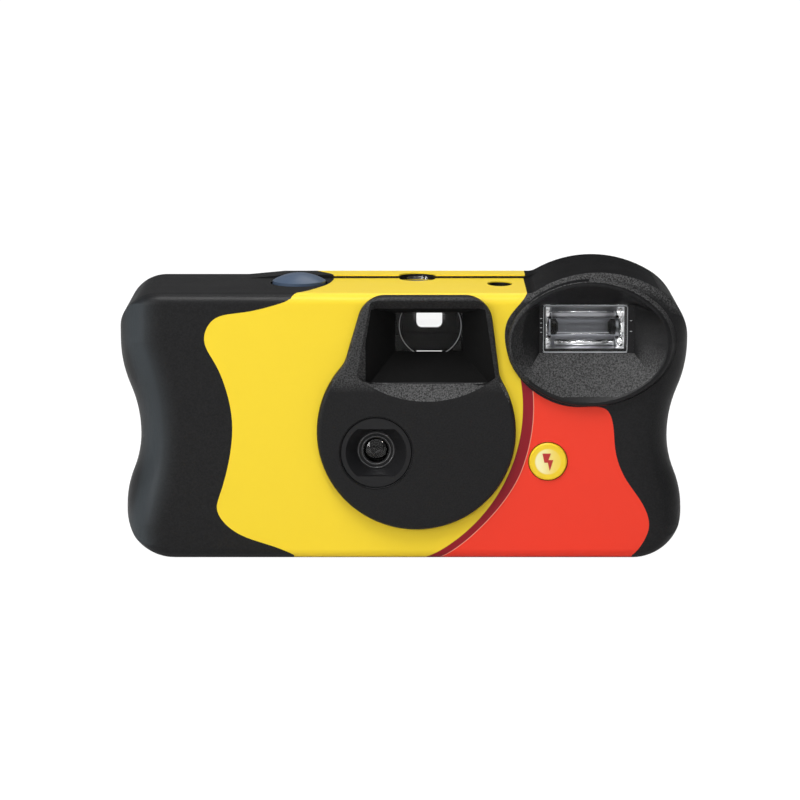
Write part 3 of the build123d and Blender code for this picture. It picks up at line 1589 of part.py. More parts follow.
makers = (
    front_cover, rear_cover, front_label, rear_label, cartridge_door, mainframe,
    lens_retainer, front_lens, aperture_disc, shutter_blade, kick_lever, metering_lever,
    cartridge_shell, cartridge_spool, film_strip, film_roll, supply_spool,
    advance_wheel, sprocket, counter_disc, finder_tunnel, finder_objective, finder_eyepiece,
    counter_window, shutter_button, flash_button, flash_contact, flash_window, flash_reflector,
    flash_tube, flash_board, flash_capacitor, flash_transformer, board_parts, ready_lamp,
    battery, battery_contacts,
)

os.makedirs("parts", exist_ok=True)
for maker in makers:
    export_step(maker(), "parts/" + maker.__name__ + ".step")
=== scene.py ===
# %% [markdown]
# A single-use film camera with a built-in flash
#
# The real camera is a black plastic shell in two halves with a printed label
# wrapped round its middle. A raised black panel carries the finder and the small
# fixed lens, and an oval pod at the right holds the flash. The solids of all its
# pieces come in as a fixed frame, at real size and in metres, and this lesson
# dresses them: finishes first, then the small printed and moulded details.

# %% Open the frame
import math

import bmesh
import bpy
from mathutils import Matrix, Vector


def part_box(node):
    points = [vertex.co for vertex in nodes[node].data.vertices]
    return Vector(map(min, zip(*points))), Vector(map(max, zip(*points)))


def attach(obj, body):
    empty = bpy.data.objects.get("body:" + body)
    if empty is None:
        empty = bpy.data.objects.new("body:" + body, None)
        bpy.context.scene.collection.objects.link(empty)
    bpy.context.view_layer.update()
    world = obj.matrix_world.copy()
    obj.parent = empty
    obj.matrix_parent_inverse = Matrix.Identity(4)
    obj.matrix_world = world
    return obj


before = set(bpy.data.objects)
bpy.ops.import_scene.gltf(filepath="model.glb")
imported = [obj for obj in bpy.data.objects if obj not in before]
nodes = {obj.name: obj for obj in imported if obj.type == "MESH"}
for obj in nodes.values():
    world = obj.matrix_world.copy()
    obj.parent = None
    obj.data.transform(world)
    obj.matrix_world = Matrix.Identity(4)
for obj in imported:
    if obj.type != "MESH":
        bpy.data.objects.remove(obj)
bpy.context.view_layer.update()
MM = 0.001
print("pieces in the frame:", len(nodes))

# %% [markdown]
# Small helpers for materials
#
# Every finish below is a Principled shader with a few nodes in front of it. The
# helpers keep those cells short: one adds a node, one joins two sockets, one
# does sums on sockets, one blends two colours and one starts a material with its
# plain values on the shader's own sockets.


# %% Helpers for node trees
def add(tree, kind, **values):
    """Add a node, and set its properties and the inputs that have the given names."""
    node = tree.nodes.new(kind)
    for name, value in values.items():
        label = name.replace("_", " ").title()
        if label in node.inputs:
            node.inputs[label].default_value = value
        else:
            setattr(node, name, value)
    return node


def join(tree, output, target):
    """Link an output socket to an input socket."""
    tree.links.new(output, target)


def maths(tree, operation, first, second=None, clamp=False):
    """A Math node whose inputs are sockets or numbers."""
    node = tree.nodes.new("ShaderNodeMath")
    node.operation = operation
    node.use_clamp = clamp
    for index, value in enumerate((first, second)):
        if value is None:
            continue
        if isinstance(value, (int, float)):
            node.inputs[index].default_value = value
        else:
            join(tree, value, node.inputs[index])
    return node.outputs[0]


def blend_colors(tree, factor, first, second):
    """A Mix node on two colours, each a socket or three numbers."""
    node = tree.nodes.new("ShaderNodeMix")
    node.data_type = "RGBA"
    for index, value in ((0, factor), (6, first), (7, second)):
        if isinstance(value, (int, float)):
            node.inputs[index].default_value = value
        elif isinstance(value, tuple):
            node.inputs[index].default_value = (*value, 1.0)
        else:
            join(tree, value, node.inputs[index])
    return node.outputs[2]


def all_of(tree, *tests):
    """A mask that is one where every (socket, test, limit) holds."""
    mask = None
    for socket, test, limit in tests:
        held = maths(tree, test, socket, limit)
        mask = held if mask is None else maths(tree, "MULTIPLY", mask, held)
    return mask


def start_finish(name, color, roughness, **values):
    """A material with one Principled shader, and its plain values set on that shader."""
    material = bpy.data.materials.new(name)
    material.use_nodes = True
    tree = material.node_tree
    shader = tree.nodes["Principled BSDF"]
    shader.inputs["Base Color"].default_value = (*color, 1.0)
    shader.inputs["Roughness"].default_value = roughness
    for label, value in values.items():
        shader.inputs[label.replace("_", " ")].default_value = value
    return material, tree, shader


def plain_finish(name, color, roughness, **values):
    """A material that needs nothing but the values on its shader's own sockets."""
    return start_finish(name, color, roughness, **values)[0]


def dress(material, *names):
    """Give a finish to the named pieces of the frame."""
    for name in names:
        piece = nodes[name]
        if not piece.material_slots:
            piece.data.materials.append(material)
        for slot in piece.material_slots:
            slot.material = material
    print(material.name, "on", ", ".join(names))


def mapped(tree, value, *ends):
    """A Map Range node from one span to another, as (from, from, to, to)."""
    node = tree.nodes.new("ShaderNodeMapRange")
    for label, end in zip(("From Min", "From Max", "To Min", "To Max"), ends):
        node.inputs[label].default_value = end
    join(tree, value, node.inputs["Value"])
    return node


def object_axes(tree):
    """The place of a point on its piece in millimetres, as three sockets."""
    place = tree.nodes.new("ShaderNodeTexCoord")
    axes = tree.nodes.new("ShaderNodeSeparateXYZ")
    join(tree, place.outputs["Object"], axes.inputs["Vector"])
    return [maths(tree, "MULTIPLY", axes.outputs[label], 1000.0) for label in "XYZ"]


# %% [markdown]
# The grain of moulded plastic
#
# A mould for such a body is spark eroded, which leaves a fine, even pebble on
# the plastic. It is the same effect on every moulded piece, only coarser or
# finer, so it is one node group: noise at a given size in millimetres, put out
# as a height for a Bump node, and a slow patchy mask that varies the gloss.


# %% Group: moulded grain
def make_grain_group():
    """A node group that gives the height of a moulded grain and a slow patchy mask."""
    group = bpy.data.node_groups.new("moulded_grain", "ShaderNodeTree")
    group.interface.new_socket("Grain per mm", in_out="INPUT", socket_type="NodeSocketFloat")
    group.interface.new_socket("Patch per mm", in_out="INPUT", socket_type="NodeSocketFloat")
    group.interface.new_socket("Height", in_out="OUTPUT", socket_type="NodeSocketFloat")
    group.interface.new_socket("Patch", in_out="OUTPUT", socket_type="NodeSocketFloat")
    entry = group.nodes.new("NodeGroupInput")
    leave = group.nodes.new("NodeGroupOutput")
    place = group.nodes.new("ShaderNodeTexCoord")
    pebble = add(group, "ShaderNodeTexNoise", detail=2.0, roughness=0.6)
    patch = add(group, "ShaderNodeTexNoise", detail=4.0, roughness=0.55)
    for texture, label in ((pebble, "Grain per mm"), (patch, "Patch per mm")):
        join(group, place.outputs["Object"], texture.inputs["Vector"])
        join(group, maths(group, "MULTIPLY", entry.outputs[label], 1000.0), texture.inputs["Scale"])
    join(group, pebble.outputs["Fac"], leave.inputs["Height"])
    join(group, patch.outputs["Fac"], leave.inputs["Patch"])
    return group


grain_group = make_grain_group()


def add_grain(tree, shader, per_mm, depth_mm, low_rough, high_rough, patch_per_mm=0.06):
    """Put the grain in front of a shader: a bump, and a roughness that drifts slowly.

    The patches of the drift lie between 0.3 and 0.7 of the noise, where nearly all of it is.
    """
    grain = tree.nodes.new("ShaderNodeGroup")
    grain.node_tree = grain_group
    grain.inputs["Grain per mm"].default_value = per_mm
    grain.inputs["Patch per mm"].default_value = patch_per_mm
    bump = add(tree, "ShaderNodeBump", strength=1.0, distance=depth_mm * MM)
    join(tree, grain.outputs["Height"], bump.inputs["Height"])
    join(tree, bump.outputs["Normal"], shader.inputs["Normal"])
    drift = mapped(tree, grain.outputs["Patch"], 0.3, 0.7, low_rough, high_rough)
    join(tree, drift.outputs["Result"], shader.inputs["Roughness"])
    return grain


def grained_finish(name, color, grain, **values):
    """A finish of one colour with the grain: per mm, depth in mm, least and most roughness."""
    material, tree, shader = start_finish(name, color, grain[-1], **values)
    add_grain(tree, shader, *grain)
    return material


print("grain group:", [socket.name for socket in grain_group.interface.items_tree])

# %% [markdown]
# The black shell
#
# The shell is black polystyrene with a fine pebble. The tips of the pebble are
# burnished a little lighter than its hollows, so the same grain also carries
# the colour from one black to the other. Towards the two grips the front bellies
# away very gently, which a second, broad bump adds to the flat of the solid. A
# soft blue-grey band on the left grip is painted sheen, and the level deck keeps
# the dullest pebble. The funnel of the finder is dull, so that it throws no light
# into the eye, and its colour is darkened almost to black as painted shade. On the
# slanted facets below and beside it, and on the floor of the flash dish, a lighter
# speckle on the pebble is painted highlight where they face the light. The top of
# the flash pod mirrors least of all.

# %% Finish: black shell
HOLLOW_BLACK = (0.0050, 0.0050, 0.0056)
TIP_BLACK = (0.0110, 0.0110, 0.0118)
SHELL_GLOSS = 0.25
shell, tree, shader = start_finish("shell_black", HOLLOW_BLACK, 0.5, Specular_IOR_Level=SHELL_GLOSS)
grain = add_grain(tree, shader, 3.3, 0.040, 0.36, 0.46)
slow_rough = shader.inputs["Roughness"].links[0].from_socket
grain_bump = shader.inputs["Normal"].links[0].from_node
across, inwards, height = object_axes(tree)

# %% Shell: the front bellies away towards the grips
FLAT_HALF, FLAT_FLARE, WAIST_Z, FLARE_Z = 45.0, 3.6, 26.0, 19.0
FALL_PER_MM = 0.030
flare = maths(tree, "DIVIDE", maths(tree, "SUBTRACT", height, WAIST_Z), FLARE_Z)
flare = maths(tree, "MINIMUM", maths(tree, "POWER", maths(tree, "ABSOLUTE", flare), 2.0), 1.0)
flat_edge = maths(tree, "ADD", maths(tree, "MULTIPLY", flare, FLAT_FLARE), FLAT_HALF)
past_flat = maths(tree, "MAXIMUM", maths(tree, "SUBTRACT", maths(tree, "ABSOLUTE", across), flat_edge), 0.0)
fall = maths(tree, "MULTIPLY", maths(tree, "POWER", past_flat, 2.0), -FALL_PER_MM)
swell = add(tree, "ShaderNodeBump", strength=1.0, distance=MM)
join(tree, fall, swell.inputs["Height"])
join(tree, swell.outputs["Normal"], grain_bump.inputs["Normal"])

# %% Shell: how the surface lies
shape_normal = tree.nodes.new("ShaderNodeTexCoord")
facing = add(tree, "ShaderNodeSeparateXYZ")
join(tree, shape_normal.outputs["Normal"], facing.inputs["Vector"])
faces_in, faces_up = facing.outputs["Y"], facing.outputs["Z"]
LEVEL_FROM, LEVEL_STEEP = 0.80, 6.0
upright = maths(tree, "SUBTRACT", 1.0, maths(tree, "ABSOLUTE", faces_up), clamp=True)
level = maths(tree, "MULTIPLY", maths(tree, "SUBTRACT", faces_up, LEVEL_FROM), LEVEL_STEEP, clamp=True)

# %% Shell: painted sheen on the left grip
# Painted sheen: a soft blue-grey band on the left grip only.
SHEEN_GREY = (0.042, 0.050, 0.056)
SHEEN_WIDTH = 11.0
SHEEN_LINE = ((0.12, 0.03), (0.32, 0.35), (0.52, 0.95), (0.64, 0.95), (0.78, 0.35), (0.88, 0.08))
sheen_curve = add(tree, "ShaderNodeFloatCurve")
line = sheen_curve.mapping.curves[0]
line.points[0].location = (0.0, 0.0)
line.points[1].location = (1.0, 0.0)
for place in SHEEN_LINE:
    line.points.new(*place)
sheen_curve.mapping.update()
join(tree, maths(tree, "DIVIDE", past_flat, SHEEN_WIDTH), sheen_curve.inputs["Value"])
in_sheen = maths(tree, "MULTIPLY", sheen_curve.outputs[0], maths(tree, "LESS_THAN", across, 0.0))
in_sheen = maths(tree, "MULTIPLY", in_sheen, upright)

# %% Shell: painted shade in the funnel of the finder
FINDER_X = 5.45
FUNNEL_HALF, FUNNEL_LOW, FUNNEL_HIGH, FUNNEL_FRONT = 13.2, 36.7, 52.0, -16.4
# Painted shade: inside the funnel the colour is darkened almost to black.
FUNNEL_SHADE = (0.0008, 0.0008, 0.0008)
from_finder = maths(tree, "ABSOLUTE", maths(tree, "SUBTRACT", across, FINDER_X))
in_funnel = all_of(
    tree, (from_finder, "LESS_THAN", FUNNEL_HALF), (height, "GREATER_THAN", FUNNEL_LOW),
    (height, "LESS_THAN", FUNNEL_HIGH), (inwards, "GREATER_THAN", FUNNEL_FRONT),
)

# %% Shell: painted highlight on the scoop and round the finder
SLANTED, PROUD_OF = -0.25, -14.45
SCOOP_HALF, SCOOP_LOW, SCOOP_HIGH, SCOOP_RISE = 16.0, 32.0, 37.2, 0.12
SURROUND_HALF, SURROUND_LOW, SURROUND_FADE = 20.0, 35.0, 2.5
LEFT_OF, LEFT_EXTRA, SURROUND_SHARE = -6.0, 0.25, 0.30
# Painted highlight: these masks pick the slanted facets that face up, with more on the left.
in_scoop = all_of(
    tree, (from_finder, "LESS_THAN", SCOOP_HALF), (height, "GREATER_THAN", SCOOP_LOW),
    (height, "LESS_THAN", SCOOP_HIGH), (inwards, "LESS_THAN", PROUD_OF), (faces_up, "GREATER_THAN", SCOOP_RISE),
    (faces_in, "LESS_THAN", SLANTED),
)
in_surround = all_of(
    tree, (from_finder, "LESS_THAN", SURROUND_HALF), (inwards, "LESS_THAN", PROUD_OF),
    (faces_in, "LESS_THAN", SLANTED),
)
above_scoop = maths(tree, "SUBTRACT", height, SURROUND_LOW)
above_scoop = maths(tree, "DIVIDE", above_scoop, SURROUND_FADE, clamp=True)
left_share = maths(tree, "MULTIPLY", maths(tree, "LESS_THAN", across, LEFT_OF), LEFT_EXTRA)
surround_share = maths(tree, "ADD", left_share, SURROUND_SHARE)
in_surround = maths(tree, "MULTIPLY", maths(tree, "MULTIPLY", in_surround, above_scoop), surround_share)

# %% Shell: painted highlight on the flash dish
DISH_LEFT, DISH_LOW, DISH_FRONT, DISH_SHARE = 20.0, 34.0, -16.3, 0.85
DISH_RISE, DISH_STEEP = 0.05, 2.2
in_dish = all_of(
    tree, (across, "GREATER_THAN", DISH_LEFT), (height, "GREATER_THAN", DISH_LOW),
    (inwards, "GREATER_THAN", DISH_FRONT), (faces_in, "LESS_THAN", SLANTED),
)
dish_up = maths(tree, "MULTIPLY", maths(tree, "SUBTRACT", faces_up, DISH_RISE), DISH_STEEP, clamp=True)
in_dish = maths(tree, "MULTIPLY", maths(tree, "MULTIPLY", in_dish, dish_up), DISH_SHARE)
highlight_facets = maths(tree, "MAXIMUM", maths(tree, "MAXIMUM", in_scoop, in_surround), in_dish)

# %% Shell: dull top of the flash pod
POD_LEFT, POD_LOW, POD_RISE, POD_STEEP, POD_LOSS = 22.0, 53.2, 0.15, 2.5, 0.20
pod_up = maths(tree, "MULTIPLY", maths(tree, "SUBTRACT", faces_up, POD_RISE), POD_STEEP, clamp=True)
on_pod = all_of(tree, (across, "GREATER_THAN", POD_LEFT), (height, "GREATER_THAN", POD_LOW))
gloss_loss = maths(tree, "MULTIPLY", maths(tree, "MULTIPLY", pod_up, on_pod), POD_LOSS)
join(tree, maths(tree, "SUBTRACT", SHELL_GLOSS, gloss_loss), shader.inputs["Specular IOR Level"])

# %% Shell: roughness and colour
TIP_SPAN, GLINT_SPAN = (0.34, 0.66), (0.38, 0.64)
# The lighter speckle is painted highlight on the pebble of the facets that face the light.
HIGHLIGHT_SPECKLE_LOW = (0.018, 0.018, 0.018)
HIGHLIGHT_SPECKLE_HIGH = (0.112, 0.112, 0.113)
DULL_LEVEL, DULL_FUNNEL, DULL_SPECKLE = 0.40, 0.50, 0.30
duller = maths(tree, "MULTIPLY", level, DULL_LEVEL)
for mask, share in ((in_funnel, DULL_FUNNEL), (highlight_facets, DULL_SPECKLE)):
    duller = maths(tree, "MAXIMUM", duller, maths(tree, "MULTIPLY", mask, share))
join(tree, maths(tree, "ADD", slow_rough, duller), shader.inputs["Roughness"])
tips = mapped(tree, grain.outputs["Height"], *TIP_SPAN, 0.0, 1.0)
glints = mapped(tree, grain.outputs["Height"], *GLINT_SPAN, 0.0, 1.0)
pebble_black = blend_colors(tree, tips.outputs["Result"], HOLLOW_BLACK, TIP_BLACK)
painted_speckle = blend_colors(tree, glints.outputs["Result"], HIGHLIGHT_SPECKLE_LOW, HIGHLIGHT_SPECKLE_HIGH)
# The shell's colour takes in the painted sheen, the painted highlight speckle and the painted shade of the
# funnel.
shell_color = blend_colors(tree, in_sheen, pebble_black, SHEEN_GREY)
shell_color = blend_colors(tree, highlight_facets, shell_color, painted_speckle)
join(tree, blend_colors(tree, in_funnel, shell_color, FUNNEL_SHADE), shader.inputs["Base Color"])
dress(shell, "front_cover", "rear_cover", "cartridge_door")

# %% [markdown]
# The printed label
#
# The label is one printed film: a yellow field, a maroon stripe that sweeps down
# from the flash, and a red field outside it. Both borders of the stripe are arcs
# round one centre, so the shader only measures how far a point lies from that
# centre. The stripe thins towards the foot, and a pale hairline parts it from
# the red.

# %% Finish: printed label
YELLOW = (0.955, 0.700, 0.034)
MAROON = (0.300, 0.010, 0.020)
RED = (0.900, 0.050, 0.024)
HAIRLINE = (0.88, 0.34, 0.24)
STRIPE_X, STRIPE_Z, STRIPE_RADIUS = -10.37, 31.58, 34.65
STRIPE_TOP, TOP_STEEP, EDGE_STEEP = 42.0, 10.0, 14.0
STRIPE_LOW, STRIPE_HIGH, STRIPE_THIN, STRIPE_WIDE = 5.0, 19.0, 1.40, 2.20
HAIRLINE_OUT, HAIRLINE_IN = 0.08, -0.06

label, tree, shader = start_finish("printed_label", YELLOW, 0.4, Specular_IOR_Level=0.25)
across, _, height = object_axes(tree)
far_x = maths(tree, "POWER", maths(tree, "SUBTRACT", across, STRIPE_X), 2.0)
far_z = maths(tree, "POWER", maths(tree, "SUBTRACT", height, STRIPE_Z), 2.0)
from_centre = maths(tree, "SQRT", maths(tree, "ADD", far_x, far_z))
past_inner = maths(tree, "SUBTRACT", from_centre, STRIPE_RADIUS)
stripe = mapped(tree, height, STRIPE_LOW, STRIPE_HIGH, STRIPE_THIN, STRIPE_WIDE)
stripe.interpolation_type = "SMOOTHSTEP"
past_outer = maths(tree, "SUBTRACT", past_inner, stripe.outputs["Result"])
below_top = maths(tree, "MULTIPLY", maths(tree, "SUBTRACT", STRIPE_TOP, height), TOP_STEEP, clamp=True)
below_top = maths(tree, "MULTIPLY", below_top, maths(tree, "GREATER_THAN", across, 0.0))
masks = []
for past, shift in ((past_inner, 0.0), (past_outer, HAIRLINE_OUT), (past_outer, HAIRLINE_IN)):
    edge = maths(tree, "MULTIPLY", maths(tree, "ADD", past, shift), EDGE_STEEP, clamp=True)
    masks.append(maths(tree, "MULTIPLY", edge, below_top))
print_color = YELLOW
for mask, ink in zip(masks, (MAROON, HAIRLINE, RED)):
    print_color = blend_colors(tree, mask, print_color, ink)
join(tree, print_color, shader.inputs["Base Color"])
add_grain(tree, shader, 1.4, 0.004, 0.36, 0.46)
dress(label, "front_label", "rear_label")

# %% [markdown]
# Inner blacks, wheel, button and metals
#
# The lens ring is a smoother moulding, the inner frame and the finder's tunnel
# are dull so that no stray light reaches the film, the release button is slate
# blue and the winding wheel dark grey. Each gets its own finish, because their
# gloss differs as much as their colour.

# %% Finishes: other mouldings
MOULDINGS = [
    ("ring_black", (0.010, 0.010, 0.011), 0.3, (5.0, 0.012, 0.34, 0.46), ("lens_retainer", "aperture_disc")),
    ("frame_black", (0.006, 0.006, 0.0065), 0.2, (4.0, 0.015, 0.62, 0.8),
     ("mainframe", "supply_spool", "sprocket", "cartridge_spool")),
    ("tunnel_black", (0.0015, 0.0015, 0.0015), 0.03, (1.0, 0.002, 0.8, 0.9), ("finder_tunnel",)),
    ("wheel_grey", (0.045, 0.045, 0.049), 0.3, (4.0, 0.012, 0.4, 0.52), ("advance_wheel",)),
    ("button_blue", (0.066, 0.098, 0.155), 0.3, (5.0, 0.008, 0.3, 0.42), ("shutter_button",)),
]
for name, color, gloss, grain, wearers in MOULDINGS:
    dress(grained_finish(name, color, grain, Specular_IOR_Level=gloss), *wearers)

# %% Finishes: metals
blackened = plain_finish("blackened_steel", (0.004, 0.004, 0.004), 0.7, Specular_IOR_Level=0.1)
dress(blackened, "shutter_blade")

METAL_GRAIN = (3.0, 0.004, 0.25, 0.4)
steel = grained_finish("spring_steel", (0.55, 0.55, 0.56), METAL_GRAIN, Metallic=1.0)
dress(steel, "kick_lever", "metering_lever")
brass = grained_finish("contact_brass", (0.70, 0.52, 0.25), METAL_GRAIN, Metallic=1.0)
dress(brass, "flash_contact", "battery_contacts")

# %% [markdown]
# Clear pieces
#
# Eyepiece, counter window and taking lens are clear acrylic: full transmission, an
# index of 1.49 and a smooth surface. The finder's front lens, the flash window and
# the flash tube get a lower index, so that their faces mirror less and what lies
# behind them can be seen.

# %% Finishes: clear acrylic and tube glass
CLEAR = (1.0, 1.0, 1.0)
acrylic = plain_finish("clear_acrylic", CLEAR, 0.02, Transmission_Weight=1.0, IOR=1.49)
dress(acrylic, "finder_eyepiece", "counter_window")
dress(plain_finish("pane_clear", CLEAR, 0.0, Transmission_Weight=1.0, IOR=1.25), "flash_window")
dress(plain_finish("finder_clear", CLEAR, 0.0, Transmission_Weight=1.0, IOR=1.2), "finder_objective")
dress(plain_finish("lens_clear", CLEAR, 0.0, Transmission_Weight=1.0, IOR=1.49), "front_lens")
dress(plain_finish("tube_glass", (0.9, 0.92, 0.95), 0.0, Transmission_Weight=1.0, IOR=1.2), "flash_tube")

# %% [markdown]
# The flash reflector
#
# Behind the clear window a pressed trough of bright sheet throws the flash
# forwards. Its ends are bright, while the level bands along its long walls are
# painted reflections of the room. The bands are a colour ramp over the height.

# %% Finish: reflector
low_corner, high_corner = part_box("flash_reflector")
REFLECTOR_LEFT, REFLECTOR_FRONT, REFLECTOR_LOW = (float(value) / MM for value in low_corner)
REFLECTOR_RIGHT, REFLECTOR_HIGH = float(high_corner[0]) / MM, float(high_corner[2]) / MM
END_WIDTH, END_STEEP, END_BRIGHT = 1.9, 6.0, (0.95, 0.95, 0.96)
LIP_DEPTH, LIP_STEEP, LIP_DARK = 0.12, 20.0, (0.05, 0.05, 0.05)
# Painted reflections: each grey band stands for a part of the room mirrored in the walls.
REFLECTION_BANDS = [
    (0.00, 0.50), (0.06, 0.80), (0.12, 0.95), (0.26, 0.95), (0.36, 0.80), (0.385, 0.02), (0.42, 0.15),
    (0.48, 0.18), (0.53, 0.35), (0.55, 0.85), (0.57, 0.35), (0.60, 0.35), (0.63, 0.01), (0.66, 0.45),
    (0.76, 0.60), (0.79, 1.00), (0.81, 0.12), (0.88, 0.18), (0.94, 0.40), (1.00, 0.80),
]
bright, tree, shader = start_finish("reflector_bright", (0.86, 0.87, 0.88), 0.30, Metallic=1.0)
across, inwards, height = object_axes(tree)
span = REFLECTOR_HIGH - REFLECTOR_LOW
share_up = maths(tree, "DIVIDE", maths(tree, "SUBTRACT", height, REFLECTOR_LOW), span)
ramp = tree.nodes.new("ShaderNodeValToRGB")
for place, grey in REFLECTION_BANDS[1:-1]:
    ramp.color_ramp.elements.new(place)
for element, (place, grey) in zip(ramp.color_ramp.elements, REFLECTION_BANDS):
    element.position = place
    element.color = (grey, grey, grey * 1.04, 1.0)
join(tree, share_up, ramp.inputs["Fac"])
middle_x = (REFLECTOR_LEFT + REFLECTOR_RIGHT) / 2
half_x = (REFLECTOR_RIGHT - REFLECTOR_LEFT) / 2
from_middle = maths(tree, "ABSOLUTE", maths(tree, "SUBTRACT", across, middle_x))
past_middle = maths(tree, "SUBTRACT", from_middle, half_x - END_WIDTH)
at_end = maths(tree, "MULTIPLY", past_middle, END_STEEP, clamp=True)
sheet_and_reflections = blend_colors(tree, at_end, ramp.outputs["Color"], END_BRIGHT)
before_lip = maths(tree, "SUBTRACT", REFLECTOR_FRONT + LIP_DEPTH, inwards)
at_lip = maths(tree, "MULTIPLY", before_lip, LIP_STEEP, clamp=True)
join(tree, blend_colors(tree, at_lip, sheet_and_reflections, LIP_DARK), shader.inputs["Base Color"])
dress(bright, "flash_reflector")

# %% Finishes: counter, film and electrics
dress(grained_finish("counter_white", (0.72, 0.73, 0.70), (4.0, 0.006, 0.45, 0.55)), "counter_disc")
dress(grained_finish("film_base", (0.10, 0.055, 0.035), (2.0, 0.003, 0.25, 0.35)), "film_strip", "film_roll")
tin = grained_finish("cartridge_tin", (0.45, 0.40, 0.10), (2.0, 0.004, 0.3, 0.4), Metallic=0.2)
dress(tin, "cartridge_shell")
dress(grained_finish("board_green", (0.05, 0.16, 0.08), (2.0, 0.01, 0.3, 0.45)), "flash_board")
sleeve = grained_finish("sleeve_black", (0.02, 0.02, 0.03), (2.0, 0.01, 0.25, 0.4))
dress(sleeve, "flash_capacitor", "board_parts")
dress(grained_finish("winding_tape", (0.45, 0.20, 0.06), (3.0, 0.02, 0.35, 0.5)), "flash_transformer")
dress(grained_finish("cell_skin", (0.05, 0.05, 0.06), (2.0, 0.004, 0.2, 0.3), Metallic=0.4), "battery")
dress(grained_finish("amber_pipe", (0.010, 0.006, 0.005), (1.2, 0.05, 0.2, 0.3)), "ready_lamp")

# %% [markdown]
# The flash charging button
#
# The button is yellow with a paler disc that fades from the left to the right,
# inside a plain yellow rim; the pale disc is painted highlight. The shader
# measures how far a point lies from the button's axis and how far across it.

# %% Finish: charging button
CHARGE_X, CHARGE_Z = 29.5, 20.5
KEY_DISC_RADIUS, KEY_EDGE_STEEP = 2.75, 4.0
KEY_FADE_LEFT, KEY_FADE_RIGHT, KEY_FADE_LEAST = -2.6, 2.4, 0.15
KEY_YELLOW = (0.93, 0.66, 0.030)
# Painted highlight: the pale disc, lighter on the left, stands for light on the button's face.
KEY_HIGHLIGHT = (0.98, 0.93, 0.52)
yellow_key, tree, shader = start_finish("yellow_key", KEY_YELLOW, 0.3, Specular_IOR_Level=0.3)
across, _, height = object_axes(tree)
off_x = maths(tree, "SUBTRACT", across, CHARGE_X)
off_z = maths(tree, "SUBTRACT", height, CHARGE_Z)
off_squared = maths(tree, "ADD", maths(tree, "POWER", off_x, 2.0), maths(tree, "POWER", off_z, 2.0))
from_rim = maths(tree, "SUBTRACT", KEY_DISC_RADIUS, maths(tree, "SQRT", off_squared))
inside = maths(tree, "MULTIPLY", from_rim, KEY_EDGE_STEEP, clamp=True)
fade = mapped(tree, off_x, KEY_FADE_LEFT, KEY_FADE_RIGHT, 1.0, KEY_FADE_LEAST)
fade.interpolation_type = "SMOOTHSTEP"
painted_highlight = maths(tree, "MULTIPLY", inside, fade.outputs["Result"])
join(tree, blend_colors(tree, painted_highlight, KEY_YELLOW, KEY_HIGHLIGHT), shader.inputs["Base Color"])
add_grain(tree, shader, 3.0, 0.004, 0.25, 0.35)
dress(yellow_key, "flash_button")
print("finishes:", len(bpy.data.materials))

# %% [markdown]
# Small helpers for pieces
#
# A few details are new pieces. Each is made at its place, in millimetres, turned
# into one plain mesh at the origin, given its finish, and tied to the body that
# carries it.


# %% Helpers for pieces
def new_piece(name, mesh, material, body):
    """An object at the origin that rides on a body of the frame."""
    piece = bpy.data.objects.new(name, mesh)
    bpy.context.collection.objects.link(piece)
    if material:
        mesh.materials.append(material)
    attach(piece, body)
    print(name, "faces:", len(mesh.polygons))


def outward_mesh(name, points, faces, smooth=True):
    """A mesh from points in millimetres, with its faces turned outwards."""
    mesh = bpy.data.meshes.new(name)
    mesh.from_pydata([Vector(point) * MM for point in points], [], faces)
    shape = bmesh.new()
    shape.from_mesh(mesh)
    bmesh.ops.recalc_face_normals(shape, faces=shape.faces)
    shape.to_mesh(mesh)
    shape.free()
    if smooth:
        mesh.shade_smooth()
    return mesh


def circle(middle, side, other, radius, steps):
    """Points on a circle in the plane of two directions."""
    turns = [math.tau * step / steps for step in range(steps)]
    return [Vector(middle) + radius * (math.cos(turn) * side + math.sin(turn) * other) for turn in turns]


def skin(loops):
    """Points and faces of a closed skin over loops that all have as many points."""
    points = [point for loop in loops for point in loop]
    count = len(loops[0])
    faces = [tuple(range(count)), tuple(reversed(range(len(points) - count, len(points))))]
    for start in range(0, len(points) - count, count):
        for index in range(count):
            here, there = start + index, start + (index + 1) % count
            faces.append((here, there, there + count, here + count))
    return points, faces


def turned_ring(name, middle, profile, material, body, steps=96):
    """A ring turned about the line of sight: its profile is (radius, y) in millimetres."""
    points, faces = [], []
    for step in range(steps):
        turn = math.tau * step / steps
        for radius, y in profile:
            points.append((middle[0] + radius * math.cos(turn), y, middle[1] + radius * math.sin(turn)))
    count = len(profile)
    for step in range(steps):
        here, there = step * count, (step + 1) % steps * count
        for index in range(count):
            after = (index + 1) % count
            faces.append((here + index, here + after, there + after, there + index))
    new_piece(name, outward_mesh(name, points, faces), material, body)


def round_profile(radius, y, thick, sides=10):
    """The profile of a round bead on a ring."""
    turns = [math.tau * side / sides for side in range(sides)]
    return [(radius + thick * math.cos(turn), y + thick * math.sin(turn)) for turn in turns]

# %% [markdown]
# The bolt on the charging button
#
# A plain red bolt, of a shape made up for this lesson, tells that the button is
# for the flash. It is a thin extrusion that stands a hair proud of the face.

# %% Piece: the bolt
BOLT = [(-1.15, 1.70), (0.55, 1.70), (0.10, 0.35), (1.05, 0.35), (0.35, -1.95), (-0.05, -0.20), (-0.75, -0.20)]
BOLT_SINK, BOLT_PROUD = 0.03, 0.04
face_y = float(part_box("flash_button")[0][1]) / MM
bolt_depths = (face_y - BOLT_PROUD, face_y + BOLT_SINK)
loops = [[(CHARGE_X + x, depth, CHARGE_Z + z) for x, z in BOLT] for depth in bolt_depths]
bolt_red = plain_finish("bolt_red", (0.50, 0.028, 0.022), 0.4)
new_piece("bolt", outward_mesh("bolt", *skin(loops), smooth=False), bolt_red, "charge")
